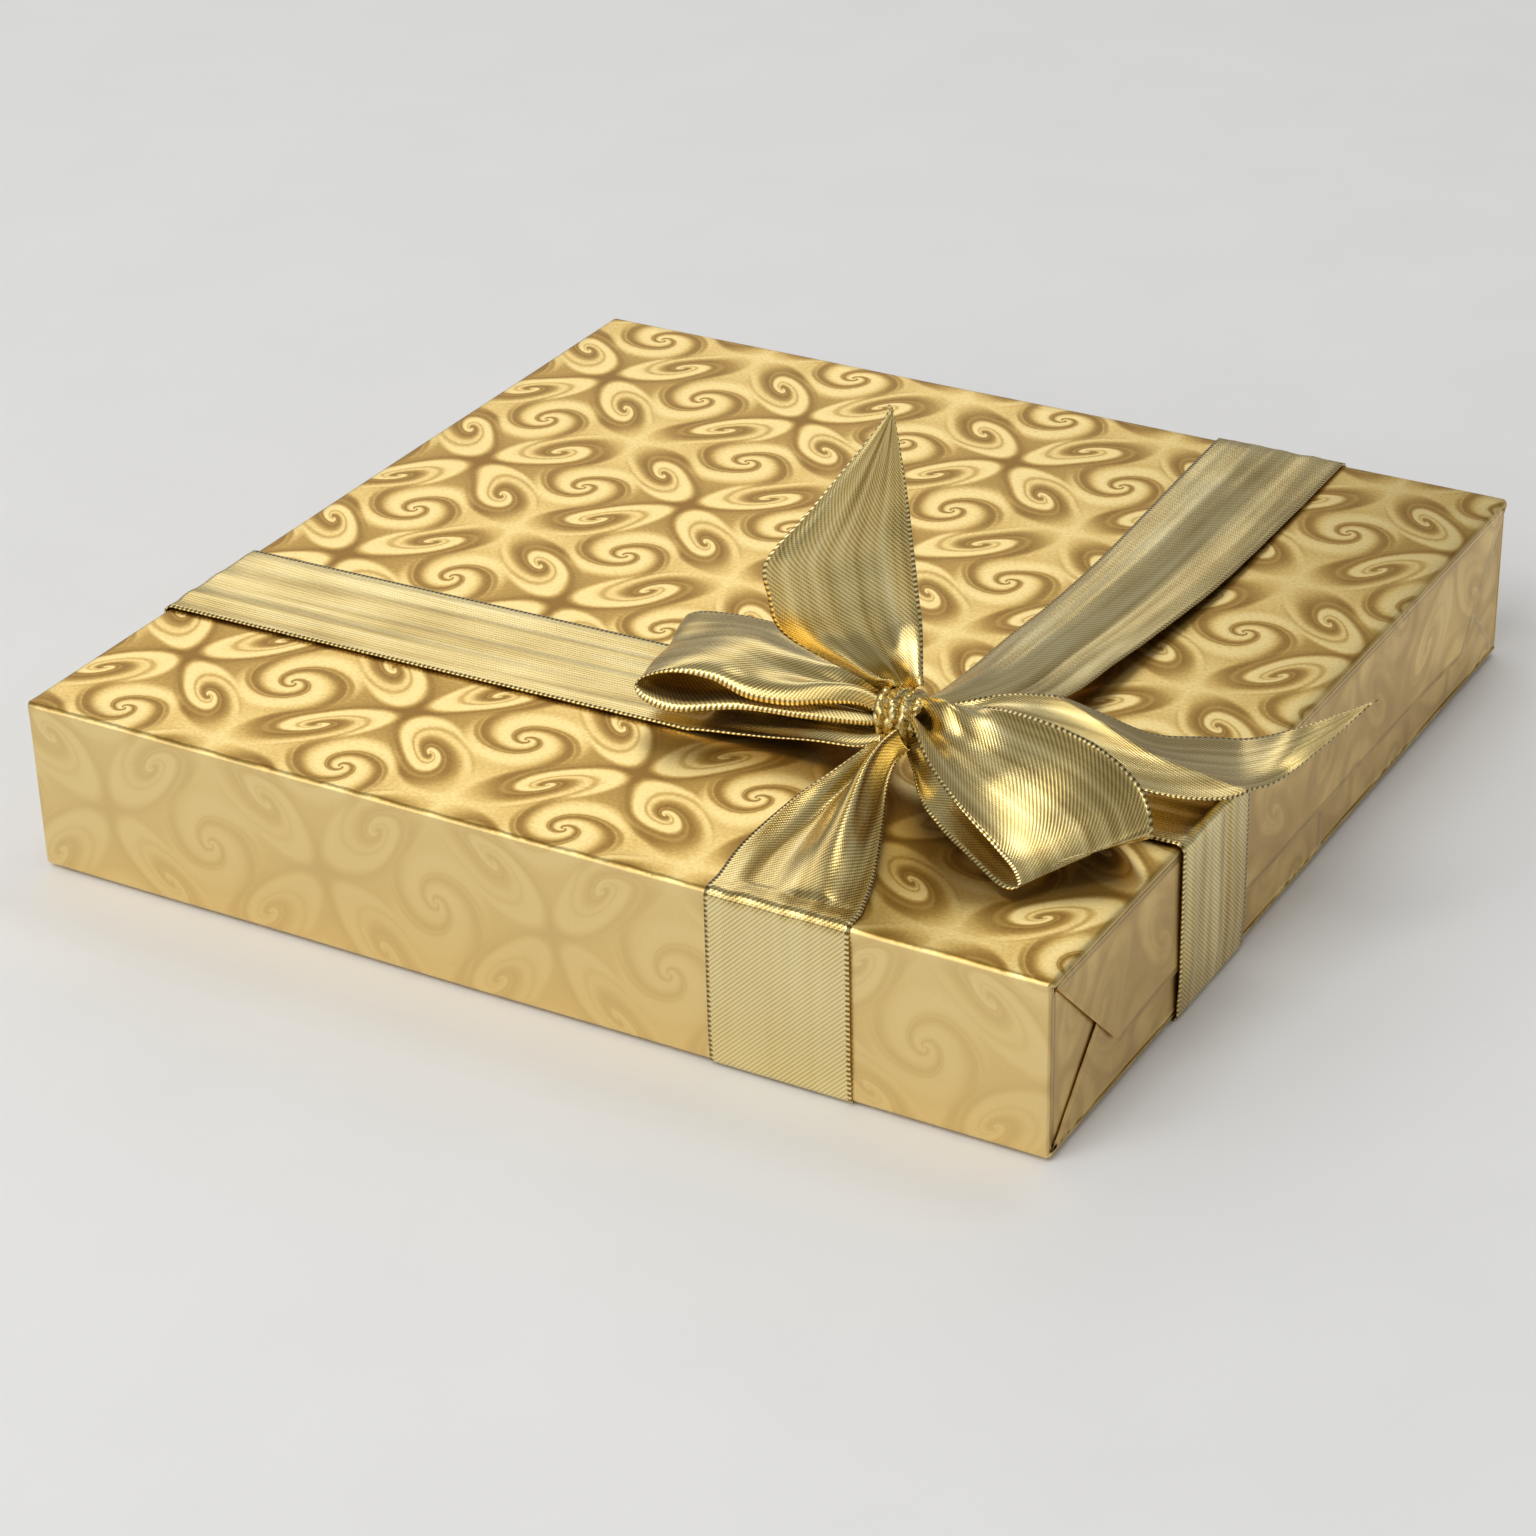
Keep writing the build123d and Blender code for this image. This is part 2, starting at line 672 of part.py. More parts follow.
pieces = [
    wrapping_paper,
    seam_tape,
    left_flap_tape,
    right_flap_tape,
    ribbon_long_band,
    ribbon_cross_band,
    bow_knot,
    bow_left_loop,
    bow_right_loop,
    bow_upright_tail,
    bow_right_tail,
    box_lid,
    box_base,
    cushion_pad,
    chocolate_tray,
]

# Chocolates: five kinds, laid out so that no kind stands beside itself
kinds = (
    "square_praline",
    "bar_praline",
    "round_praline",
    "hexagon_praline",
    "faceted_praline",
)
counts = {kind: 0 for kind in kinds}
praline_radius = praline_size / 2
for row in range(rows):
    for column in range(columns):
        kind = kinds[(column + 2 * row) % len(kinds)]
        counts[kind] += 1
        seat = Plane.XY.offset(pocket_floor).move(
            Location(
                (
                    middle_x + (column - (columns - 1) / 2) * pitch_x,
                    (row - (rows - 1) / 2) * pitch_y,
                    0,
                )
            )
        )
        with BuildPart() as praline:
            if kind == "square_praline":
                with BuildSketch(seat) as outline:
                    Rectangle(praline_size, praline_size)
                    chamfer(outline.vertices(), length=square_corner)
                extrude(amount=square_height - stripe_height, taper=praline_taper)
                chamfer(praline.edges().group_by(Axis.Z)[-1], length=praline_edge)
                with BuildSketch(seat.offset(square_height)):
                    with GridLocations(0, 3 * stripe_width, 1, 3):
                        Rectangle(praline_radius, stripe_width)
                extrude(amount=-2 * stripe_height)
            elif kind == "bar_praline":
                with BuildSketch(seat):
                    Rectangle(praline_size, praline_size * bar_share)
                extrude(amount=bar_height, taper=bar_taper)
            elif kind == "round_praline":
                with BuildSketch(seat):
                    Circle(praline_radius)
                extrude(amount=round_height)
                chamfer(praline.edges().group_by(Axis.Z)[-1], length=round_edge)
            elif kind == "hexagon_praline":
                with BuildSketch(seat):
                    RegularPolygon(praline_radius, 6)
                extrude(amount=hexagon_height - button_height, taper=praline_taper)
                chamfer(praline.edges().group_by(Axis.Z)[-1], length=praline_edge)
                with BuildSketch(seat.offset(hexagon_height)):
                    RegularPolygon(praline_radius * button_share, 6)
                extrude(amount=-2 * button_height)
            else:
                with BuildSketch(seat):
                    RegularPolygon(praline_radius, cone_sides)
                extrude(amount=cone_height, taper=cone_taper)
        praline.part.label = f"{kind}_{counts[kind]}"
        pieces.append(praline)

for piece in pieces:
    export_step(piece.part, f"parts/{piece.part.label}.step")
    print(piece.part.label, round(piece.part.volume, 1), len(piece.part.solids()))
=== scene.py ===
import json
import math

import bpy
from mathutils import Euler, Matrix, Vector, noise


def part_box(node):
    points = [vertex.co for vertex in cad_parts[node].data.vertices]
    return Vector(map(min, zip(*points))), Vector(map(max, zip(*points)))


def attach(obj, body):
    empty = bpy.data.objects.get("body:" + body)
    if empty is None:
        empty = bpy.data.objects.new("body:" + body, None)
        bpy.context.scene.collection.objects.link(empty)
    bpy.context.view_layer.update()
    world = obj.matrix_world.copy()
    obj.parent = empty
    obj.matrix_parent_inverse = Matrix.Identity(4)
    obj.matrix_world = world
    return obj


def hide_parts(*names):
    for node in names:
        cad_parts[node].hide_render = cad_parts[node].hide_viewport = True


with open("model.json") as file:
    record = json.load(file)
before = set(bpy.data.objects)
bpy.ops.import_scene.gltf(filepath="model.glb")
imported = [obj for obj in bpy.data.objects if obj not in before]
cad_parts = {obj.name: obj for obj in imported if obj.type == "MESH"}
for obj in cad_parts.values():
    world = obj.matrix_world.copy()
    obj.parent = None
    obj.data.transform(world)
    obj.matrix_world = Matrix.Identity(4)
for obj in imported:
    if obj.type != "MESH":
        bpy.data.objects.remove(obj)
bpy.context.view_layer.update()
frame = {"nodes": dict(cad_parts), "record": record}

# A gift-wrapped chocolate box: foil paper with parcel folds, and a metallic
# ribbon tied both ways with a bow. Lengths are in metres, in the CAD's frame.
MM = 0.001
TAU = 2 * math.pi

# The photograph's camera
camera_place = Vector((297.0, -532.2, 336.3)) * MM
camera_turn = (61.094, 1.226, 29.707)
camera_lens = 92.49
camera_sensor = 36.0
camera_reach = 20.0

# Places read from the frame
paper_low, paper_high = (Vector(corner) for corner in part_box("wrapping_paper"))
knot_low, knot_high = (Vector(corner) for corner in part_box("bow_knot"))
left_x, front_y, base_z = paper_low
right_x, back_y, top_z = paper_high
knot_x, knot_y, knot_z = (knot_low + knot_high) / 2
parcel_length = right_x - left_x

# Sizes of the ribbon and the paper
ribbon_width = 25 * MM
ribbon_thickness = 0.28 * MM
ribbon_lie = 0.25 * MM
paper_thickness = 0.14 * MM
paper_edge_radius = 1.0 * MM
flap_reach = 21 * MM
seam_lap = 20 * MM
top_margin = 2 * MM
long_band_left_y = front_y + 51.5 * MM
long_band_right_y = front_y + 57.0 * MM
cross_band_front_x = left_x + 144.0 * MM
cross_band_back_x = left_x + 145.7 * MM
knot_rise = knot_z - top_z

# Sizes of the bow's pieces: reach, height and heading from the knot
left_loop_sizes = (54.5 * MM, 11.0 * MM, 174.0, -90)
right_loop_sizes = (47.5 * MM, 13.6 * MM, -28.0, 90)
right_tail_sizes = (74.2 * MM, 12.0 * MM, 20.0, 90)
upright_tail_height = 59.7 * MM
upright_tail_heading = 30.4
upright_tail_setback = 6.4 * MM

# Each row is a place along one selvedge: out from the knot as a share of the
# reach, sideways as a share of the ribbon's width, up as a share of the height
left_loop_front_shares = [
    (0.04, -0.06, 0.86), (0.15, -0.04, 0.91), (0.26, -0.08, 0.78),
    (0.37, -0.15, 0.62), (0.50, -0.21, 0.59), (0.62, -0.24, 0.75),
    (0.73, -0.32, 0.80), (0.82, -0.38, 0.66), (0.845, -0.42, 0.48),
    (0.80, -0.44, 0.32), (0.70, -0.39, 0.25), (0.53, -0.20, 0.38),
    (0.33, -0.10, 0.45), (0.15, -0.06, 0.55), (0.04, -0.06, 0.64),
]
left_loop_back_shares = [
    (0.04, 0.10, 0.95), (0.17, 0.24, 1.00), (0.30, 0.42, 0.94),
    (0.44, 0.58, 0.82), (0.57, 0.68, 0.73), (0.715, 0.71, 0.66),
    (0.845, 0.68, 0.64), (0.955, 0.62, 0.59), (1.00, 0.58, 0.44),
    (0.935, 0.58, 0.24), (0.81, 0.62, 0.13), (0.61, 0.68, 0.11),
    (0.37, 0.54, 0.18), (0.17, 0.28, 0.41), (0.04, 0.10, 0.68),
]
right_loop_front_shares = [
    (0.06, -0.06, 0.70), (0.21, -0.20, 0.85), (0.38, -0.33, 0.83),
    (0.57, -0.40, 0.74), (0.67, -0.39, 0.60), (0.80, -0.36, 0.40),
    (0.875, -0.34, 0.25), (0.92, -0.37, 0.13), (0.86, -0.42, 0.08),
    (0.65, -0.38, 0.09), (0.48, -0.35, 0.13), (0.34, -0.32, 0.29),
    (0.19, -0.18, 0.44), (0.06, -0.08, 0.51),
]
right_loop_back_shares = [
    (0.03, 0.10, 0.77), (0.15, 0.18, 0.92), (0.25, 0.32, 1.00),
    (0.40, 0.46, 0.99), (0.53, 0.57, 0.94), (0.67, 0.65, 0.85),
    (0.87, 0.63, 0.72), (1.00, 0.53, 0.49), (0.95, 0.53, 0.26),
    (0.76, 0.57, 0.13), (0.57, 0.54, 0.19), (0.38, 0.36, 0.34),
    (0.19, 0.18, 0.46), (0.04, 0.08, 0.55),
]
# The upright tail's rows: sideways as a share of the ribbon's width, back as a
# share of the tail's setback, and up as a share of its height
upright_tail_left_shares = [
    (-0.10, 0.40, 0.205), (-0.24, 0.60, 0.225), (-0.48, 0.80, 0.27),
    (-0.70, 0.95, 0.32), (-0.81, 1.00, 0.375), (-0.85, 1.13, 0.448),
    (-0.865, 1.30, 0.549), (-0.585, 1.53, 0.682), (-0.305, 1.64, 0.821),
    (-0.055, 1.73, 0.947),
]
upright_tail_right_shares = [
    (0.12, 0.40, 0.205), (0.12, 0.60, 0.23), (0.125, 0.80, 0.295),
    (0.125, 0.95, 0.36), (0.11, 1.12, 0.429), (0.095, 1.27, 0.496),
    (0.075, 1.46, 0.581), (0.05, 1.70, 0.693), (0.01, 1.81, 0.822),
    (-0.03, 1.92, 0.951),
]
right_tail_front_shares = [
    (0.035, -0.10, 0.71), (0.135, -0.22, 0.79), (0.24, -0.32, 0.775),
    (0.35, -0.41, 0.65), (0.46, -0.48, 0.50), (0.565, -0.53, 0.40),
    (0.66, -0.53, 0.35), (0.74, -0.445, 0.33), (0.818, -0.045, 0.26),
    (0.898, 0.245, 0.46), (0.984, 0.545, 0.76),
]
right_tail_back_shares = [
    (0.035, 0.10, 0.79), (0.12, 0.16, 0.88), (0.215, 0.225, 0.92),
    (0.31, 0.25, 0.85), (0.42, 0.225, 0.65), (0.525, 0.25, 0.40),
    (0.635, 0.39, 0.25), (0.73, 0.485, 0.17), (0.821, 0.348, 0.50),
    (0.910, 0.447, 0.64), (1.00, 0.585, 0.77),
]
# Arms of the two turns on top, from the knot outwards: distance as a share of
# the way to the parcel's edge, middle and width as shares of the ribbon's
# width, and rise as a share of the knot's
left_arm_shares = [
    (0.02, 0.04, 0.32, 0.36), (0.05, 0.07, 0.44, 0.22),
    (0.10, 0.14, 0.64, 0.18), (0.17, 0.22, 0.86, 0.06),
    (0.26, 0.23, 1.00, 0.0),
]
right_arm_shares = [
    (0.06, 0.06, 0.30, 0.38), (0.12, 0.10, 0.44, 0.18),
    (0.22, 0.18, 0.76, 0.03), (0.32, 0.26, 0.94, 0.01),
    (0.50, 0.31, 1.00, 0.0),
]
front_arm_shares = [
    (0.09, 0.0, 0.26, 0.58), (0.165, -0.03, 0.28, 0.50),
    (0.28, -0.04, 0.42, 0.35), (0.43, -0.02, 0.64, 0.20),
    (0.71, 0.07, 0.92, 0.06), (0.92, 0.155, 1.00, 0.0),
]
back_arm_shares = [
    (0.03, 0.04, 0.28, 0.72), (0.075, 0.18, 0.40, 0.60),
    (0.18, 0.29, 0.70, 0.36), (0.305, 0.29, 0.78, 0.20),
    (0.415, 0.31, 0.82, 0.11), (0.59, 0.32, 0.90, 0.05),
    (0.85, 0.26, 0.98, 0.0),
]


# A value, or the link that carries it, into one input of a shader node
def feed(tree, place, value):
    if isinstance(value, Signal):
        tree.links.new(value.socket, place)
    elif isinstance(value, bpy.types.NodeSocket):
        tree.links.new(value, place)
    else:
        place.default_value = value


# A number carried by a shader socket, so that formulas read as formulas
class Signal:
    def __init__(self, tree, socket):
        self.tree, self.socket = tree, socket

    def math(self, operation, *others):
        node = self.tree.nodes.new("ShaderNodeMath")
        node.operation = operation
        for place, value in zip(node.inputs, (self,) + others):
            feed(self.tree, place, value)
        return Signal(self.tree, node.outputs[0])

    def __add__(self, other):
        return self.math("ADD", other)

    def __sub__(self, other):
        return self.math("SUBTRACT", other)

    def __mul__(self, other):
        return self.math("MULTIPLY", other)

    def __truediv__(self, other):
        return self.math("DIVIDE", other)

    def __neg__(self):
        return self * -1

    def flipped(self):
        return -self + 1

    def size(self):
        return self.math("ABSOLUTE")

    def sin(self):
        return self.math("SINE")

    def cos(self):
        return self.math("COSINE")

    def wrap(self, half):
        return self.math("WRAP", half, -half)

    def length(self, other):
        return (self * self + other * other).math("SQRT")

    # 1 where the signal is nought, and falling off on both sides
    def bell(self):
        return (-(self * self)).math("EXPONENT")

    # Arms that wind out from a centre, as a place from 0 to 1 across each arm
    def wound(self, other, radius, arms, core, wind, start):
        turn = other.math("ARCTAN2", self) * (arms / TAU)
        return (turn + (radius + core).math("LOGARITHM", math.e) * wind + start).math("FRACT")

    def smooth(self, low, high):
        node = self.tree.nodes.new("ShaderNodeMapRange")
        node.interpolation_type = "SMOOTHSTEP"
        self.tree.links.new(self.socket, node.inputs["Value"])
        node.inputs["From Min"].default_value = low
        node.inputs["From Max"].default_value = high
        return Signal(self.tree, node.outputs["Result"])

    def curve(self, *stops):
        node = self.tree.nodes.new("ShaderNodeFloatCurve")
        points = node.mapping.curves[0].points
        for k, stop in enumerate(stops):
            point = points[k] if k < 2 else points.new(*stop)
            point.location = stop
        node.mapping.update()
        self.tree.links.new(self.socket, node.inputs["Value"])
        return Signal(self.tree, node.outputs["Value"])

    def blend(self, low, high):
        return low * self.flipped() + high * self


class Material:
    def __init__(self, name):
        self.block = bpy.data.materials.new(name)
        self.block.use_nodes = True
        self.tree = self.block.node_tree
        self.shader = next(n for n in self.tree.nodes if n.type == "BSDF_PRINCIPLED")

    def node(self, kind, **inputs):
        node = self.tree.nodes.new("ShaderNode" + kind)
        for name, value in inputs.items():
            feed(self.tree, node.inputs[name.replace("_", " ")], value)
        return node

    def set(self, **values):
        for name, value in values.items():
            feed(self.tree, self.shader.inputs[name.replace("_", " ")], value)

    def split(self, socket):
        node = self.node("SeparateXYZ", Vector=socket)
        return [Signal(self.tree, out) for out in node.outputs]

    def combine(self, x, y):
        return self.node("CombineXYZ", X=x, Y=y).outputs[0]

    def uv(self, layer):
        node = self.node("UVMap")
        node.uv_map = layer
        return self.split(node.outputs["UV"])[:2]

    def object_place(self):
        return self.node("TexCoord").outputs["Object"]

    def normal(self):
        return self.split(self.node("NewGeometry").outputs["Normal"])

    def noise(self, scale, detail, vector=None):
        vector = vector or self.object_place()
        node = self.node("TexNoise", Vector=vector, Scale=scale, Detail=detail)
        return Signal(self.tree, node.outputs["Fac"])

    def ramp(self, value, stops):
        node = self.node("ValToRGB", Fac=value)
        ramp = node.color_ramp
        while len(ramp.elements) < len(stops):
            ramp.elements.new(0.5)
        for element, (place, colour) in zip(ramp.elements, stops):
            element.position = place
            element.color = (*colour, 1)
        return node.outputs["Color"]

    def mix(self, share, first, second):
        node = self.node("Mix")
        node.data_type = "RGBA"
        for place, value in zip((0, 6, 7), (share, first, second)):
            feed(self.tree, node.inputs[place], value)
        return node.outputs[2]

    def bump(self, height, distance, strength):
        node = self.node("Bump", Height=height, Distance=distance, Strength=strength)
        self.set(Normal=node.outputs["Normal"])


# Sizes of the swirl pattern, in metres on the flat sheet
swirl_period = 44 * MM
swirl_radius = 9.6 * MM
petal_radius = 12.8 * MM
petal_narrow = 0.47
line_width = 2.4 * MM
line_fade = (5 * MM, 14 * MM)
pattern_drift = 6 * MM

# Arms of each figure: how many, how open the core is, how tightly they wind and
# where they begin. Then their tones, from one edge of an arm to the next
swirl_arms = (2, 0.08, 0.97, 0.85)
petal_arms = (1, 0.12, 0.64, 0.94)
spoke_wind, spoke_start, spoke_pairs = 12.0, 0.20, 2
swirl_tones = (
    (0.0, 0.98), (1.0, 0.98), (0.16, 0.88), (0.34, 0.48), (0.47, 0.10), (0.53, 0.10),
    (0.58, 0.52), (0.62, 0.34), (0.72, 0.86), (0.84, 0.97),
)
petal_tones = (
    (0.0, 0.88), (1.0, 0.88), (0.05, 0.50), (0.12, 0.14), (0.19, 0.34), (0.25, 0.05),
    (0.38, 0.20), (0.50, 0.56), (0.64, 0.88), (0.71, 0.60), (0.78, 0.92), (0.92, 1.0),
)
petal_tip, petal_tip_tone, petal_tip_strength = (0.45, 1.0), 0.80, 0.75
petal_rim, swirl_rim = (0.94, 1.14), (0.86, 1.16)
ground_tone, ground_swing = 0.60, 0.32
line_darkness, line_shade = 0.40, (-0.2, 0.6)

# Noise that shifts and grains the paper, places the painted shade on its ends, and wrinkles
# it: its scale and detail
drift_noise, grain_noise, painted_end_shade_noise = (38.0, 1.0), (1500.0, 2.0), (55.0, 4.0)
crumple_noise, wrinkle_noise, crease_noise = (140.0, 4.0), (95.0, 3.0), (420.0, 3.0)

# Tones and gloss of the paper, with the painted paler, fainter upright sides and the painted
# shade on the ends, and the share of each mark in its relief
grain_strength = 0.40
upright_painted_contrast, upright_painted_tone = 0.30, 0.60
painted_end_shade_range, painted_end_shade_strength, painted_end_shade_least = (0.32, 0.68), 0.42, 0.10
flat_range, wall_range = (0.45, 0.95), (0.6, 0.95)
painted_pale_strength, painted_pale_end_loss = 0.45, 0.35
foil_roughness, foil_roughness_slope = 0.42, -0.08
pattern_relief, crumple_relief, grain_relief = 0.25, 0.6, 0.05
crease_relief, wrinkle_relief = 2.4, 5.0
fold_line = back_y
crease_reach = 3 * MM
foil_relief, foil_bump = 0.12 * MM, 0.5
foil_colours = (
    (0.0, (0.33, 0.175, 0.026)),
    (0.45, (0.52, 0.325, 0.075)),
    (0.75, (0.76, 0.53, 0.165)),
    (1.0, (0.93, 0.73, 0.31)),
)
# Painted reflection: the pale gold mixed into the upright sides
foil_painted_pale = (0.90, 0.71, 0.38, 1)


# Tones of the pattern at a place on the sheet: rows of two-armed swirls, and
# between them petals in which a light and a dark arm hook together. Four petals
# meet at each dark crossing and four at each light one
def swirl_pattern(u, v):
    diagonal = math.sqrt(0.5)
    half = swirl_period / 2 * diagonal
    quarter = swirl_period / 4
    wave = TAU / swirl_period
    a = ((u + v) * diagonal).wrap(half)
    b = ((v - u) * diagonal).wrap(half)
    r = a.length(b) / swirl_radius
    swirl = a.wound(b, r, *swirl_arms).curve(*swirl_tones)

    du = (u - quarter).wrap(quarter)
    dv = (v - quarter).wrap(quarter)
    upper = (v * wave).sin().math("SIGN")
    pick = ((u * wave).sin() * (v * wave).sin()).math("GREATER_THAN", 0.0)
    rise = (du + dv) * diagonal * upper
    fall = (dv - du) * diagonal * upper
    along = pick.blend(rise, fall) / petal_radius
    across = pick.blend(fall, -rise) / (petal_radius * petal_narrow)
    rho = along.length(across)
    petal = along.wound(across, rho, *petal_arms).curve(*petal_tones)
    tip = (-along).smooth(*petal_tip) * petal_tip_strength
    petal = tip.blend(petal, tip * 0.0 + petal_tip_tone)

    light = ((v * wave).cos() - (u * wave).cos()) * 0.5
    p = u.wrap(swirl_period / 2)
    q = (v - swirl_period / 2).wrap(swirl_period / 2)
    reach = p.length(q)
    spoke = (q.math("ARCTAN2", p) - reach * spoke_wind - spoke_start) * spoke_pairs
    line = (spoke.sin() * reach / line_width).bell() * reach.smooth(*line_fade).flipped()
    line = line * (-light).smooth(*line_shade)
    ground = light * ground_swing + ground_tone - line * line_darkness
    ground = rho.smooth(*petal_rim).blend(petal, ground)
    return r.smooth(*swirl_rim).blend(swirl, ground)


# Foil paper. The pattern drifts a little, and where the paper stands upright it
# is painted paler and fainter, as painted reflection. The two folded ends get
# painted shade in noisy patches, and wrinkles
def foil_material():
    m = Material("foil_paper")
    u, v = m.uv("Sheet")
    place = m.combine(u, v)
    drift = (m.noise(*drift_noise, place) - 0.5) * pattern_drift
    sway = (m.noise(*drift_noise, m.combine(v, u)) - 0.5) * pattern_drift
    u, v = u + drift, v + sway
    grain = m.noise(*grain_noise, place)
    value = swirl_pattern(u, v) + (grain - 0.5) * grain_strength
    endward, _, upward = m.normal()
    flat = upward.smooth(*flat_range)
    end = endward.size().smooth(*wall_range)
    # Painted shade: the two folded ends are darkened in noisy patches
    painted_end_shade = m.noise(*painted_end_shade_noise, place).smooth(*painted_end_shade_range) * painted_end_shade_strength + painted_end_shade_least
    # Painted reflection: on the upright sides the pattern is fainter
    value = flat.blend(value * upright_painted_contrast + upright_painted_tone, value) - end * painted_end_shade
    # Painted reflection: the upright sides are mixed towards a pale gold, less so on the ends
    painted_pale = (flat.flipped() - end * painted_pale_end_loss) * painted_pale_strength
    colour = m.mix(painted_pale, m.ramp(value, foil_colours), foil_painted_pale)
    m.set(Base_Color=colour, Metallic=1.0)
    m.set(Roughness=value * foil_roughness_slope + foil_roughness)
    crumple = m.noise(*crumple_noise, place)
    edge = (v.size() - fold_line) / crease_reach
    crease = edge.bell() * m.noise(*crease_noise, place)
    wrinkle = m.noise(*wrinkle_noise, place) * end
    height = value * pattern_relief + crumple * crumple_relief + grain * grain_relief
    height = height + crease * crease_relief + wrinkle * wrinkle_relief
    m.bump(height, foil_relief, foil_bump)
    return m.block


# Sizes of the ribbon's weave and selvedges, and their relief
weave_pitch = 0.83 * MM
weave_slant, twill_share = 1.7, 0.6
selvedge_width, selvedge_core_share = 0.8 * MM, 0.6
bead_pitch = 0.9 * MM
weave_relief, weave_bump = 0.045 * MM, 0.4
weave_height, bead_height = 0.5, 1.6

# Noise of the ribbon's streaks and patches: scale across, scale along and detail
streak_noise = (420.0, 14.0, 3.0)
patch_noise = (60.0, 40.0, 2.0)

# Shares of streak, patch and weave in the ribbon's tone, and what is added. Where
# it hangs down the front or the back, a wide plain floor leaves fewer streaks, and
# the tone is painted paler, as painted reflection of that floor
lying_tone = (0.80, 0.50, 0.24, -0.18)
hanging_painted_reflection_tone = (0.16, 0.20, 0.30, 0.46)
bead_tone, bead_swing = 0.05, 0.75
ribbon_roughness, streak_roughness = 0.20, 0.10
ribbon_anisotropy = 0.4
ribbon_colours = (
    (0.12, (0.22, 0.134, 0.036)),
    (0.36, (0.53, 0.385, 0.130)),
    (0.58, (0.79, 0.640, 0.285)),
    (0.82, (0.95, 0.845, 0.510)),
)


# Woven metallic ribbon: fine twill, long soft streaks that are partly its own uneven tone and
# partly painted reflection, beaded selvedges, and a painted paler tone where it hangs down the
# front or the back
def ribbon_material():
    m = Material("metallic_ribbon")
    across, along = m.uv("Ribbon")
    twill = ((across + along) * (TAU / weave_pitch)).sin()
    rib = ((across - along * weave_slant) * (TAU / weave_pitch)).sin()
    weave = twill * twill_share + twill * rib * (1 - twill_share)
    edge = (across - ribbon_width / 2).size() * -1 + ribbon_width / 2
    core = selvedge_width * selvedge_core_share
    selvedge = edge.smooth(core, selvedge_width).flipped()
    beads = (along * (TAU / bead_pitch)).sin() * 0.5 + 0.5

    def soft(across_scale, along_scale, detail):
        return m.noise(1.0, detail, m.combine(across * across_scale, along * along_scale))

    # The streaks are partly the ribbon's own uneven tone and partly painted reflection; they
    # also set its roughness
    streaks = soft(*streak_noise)
    patches = soft(*patch_noise)

    def mixed(shares):
        return streaks * shares[0] + patches * shares[1] + weave * shares[2] + shares[3]

    height = m.split(m.object_place())[2]
    frontward = m.normal()[1].size()
    below_top = height.smooth(top_z - top_margin, top_z).flipped()
    hanging_painted_reflection = below_top * frontward.smooth(*wall_range)
    # Painted reflection: where the ribbon hangs down the front or the back, its tone is paler
    # and less streaked
    tone = hanging_painted_reflection.blend(mixed(lying_tone), mixed(hanging_painted_reflection_tone))
    tone = selvedge.blend(tone, beads * bead_swing + bead_tone)
    m.set(Base_Color=m.ramp(tone, ribbon_colours), Metallic=1.0)
    m.set(Roughness=streaks * streak_roughness + ribbon_roughness)
    m.set(Anisotropic=ribbon_anisotropy)
    tangent = m.node("Tangent")
    tangent.direction_type = "UV_MAP"
    tangent.uv_map = "Ribbon"
    m.set(Tangent=tangent.outputs[0])
    m.bump(selvedge.blend(weave * weave_height, beads * bead_height), weave_relief, weave_bump)
    return m.block


# Fibres of the plain finishes
fibre_detail, fibre_bump, fibre_roughness = 5.0, 0.5, 0.15
fibre_low, fibre_high = 0.3, 0.7


# A plain finish with fine fibres in two tones
def plain_material(name, dark, light, scale, roughness, depth, metallic=0.0):
    m = Material(name)
    fibres = m.noise(scale, fibre_detail)
    colour = m.ramp(fibres, ((fibre_low, dark), (fibre_high, light)))
    m.set(Base_Color=colour, Metallic=metallic)
    m.set(Roughness=fibres * fibre_roughness + roughness)
    m.bump(fibres, depth, fibre_bump)
    return m.block


foil = foil_material()
ribbon = ribbon_material()


# A mesh object from rows of points, with one UV layer in metres
def grid_object(name, rows, places, layer, material):
    count = len(rows[0])
    points = [p for row in rows for p in row]
    faces, corners = [], []
    for i in range(len(rows) - 1):
        for j in range(count - 1):
            ring = ((i, j), (i, j + 1), (i + 1, j + 1), (i + 1, j))
            faces.append([a * count + b for a, b in ring])
            corners.extend(places[a][b] for a, b in ring)
    mesh = bpy.data.meshes.new(name)
    mesh.from_pydata(points, [], faces)
    uv = mesh.uv_layers.new(name=layer)
    for k, corner in enumerate(corners):
        uv.data[k].uv = corner
    mesh.polygons.foreach_set("use_smooth", [True] * len(faces))
    mesh.materials.append(material)
    piece = bpy.data.objects.new(name, mesh)
    bpy.context.collection.objects.link(piece)
    return piece


def thicken(piece, thickness, offset=0.0):
    solid = piece.modifiers.new("thickness", "SOLIDIFY")
    solid.thickness = thickness
    solid.offset = offset
    solid.use_even_offset = False


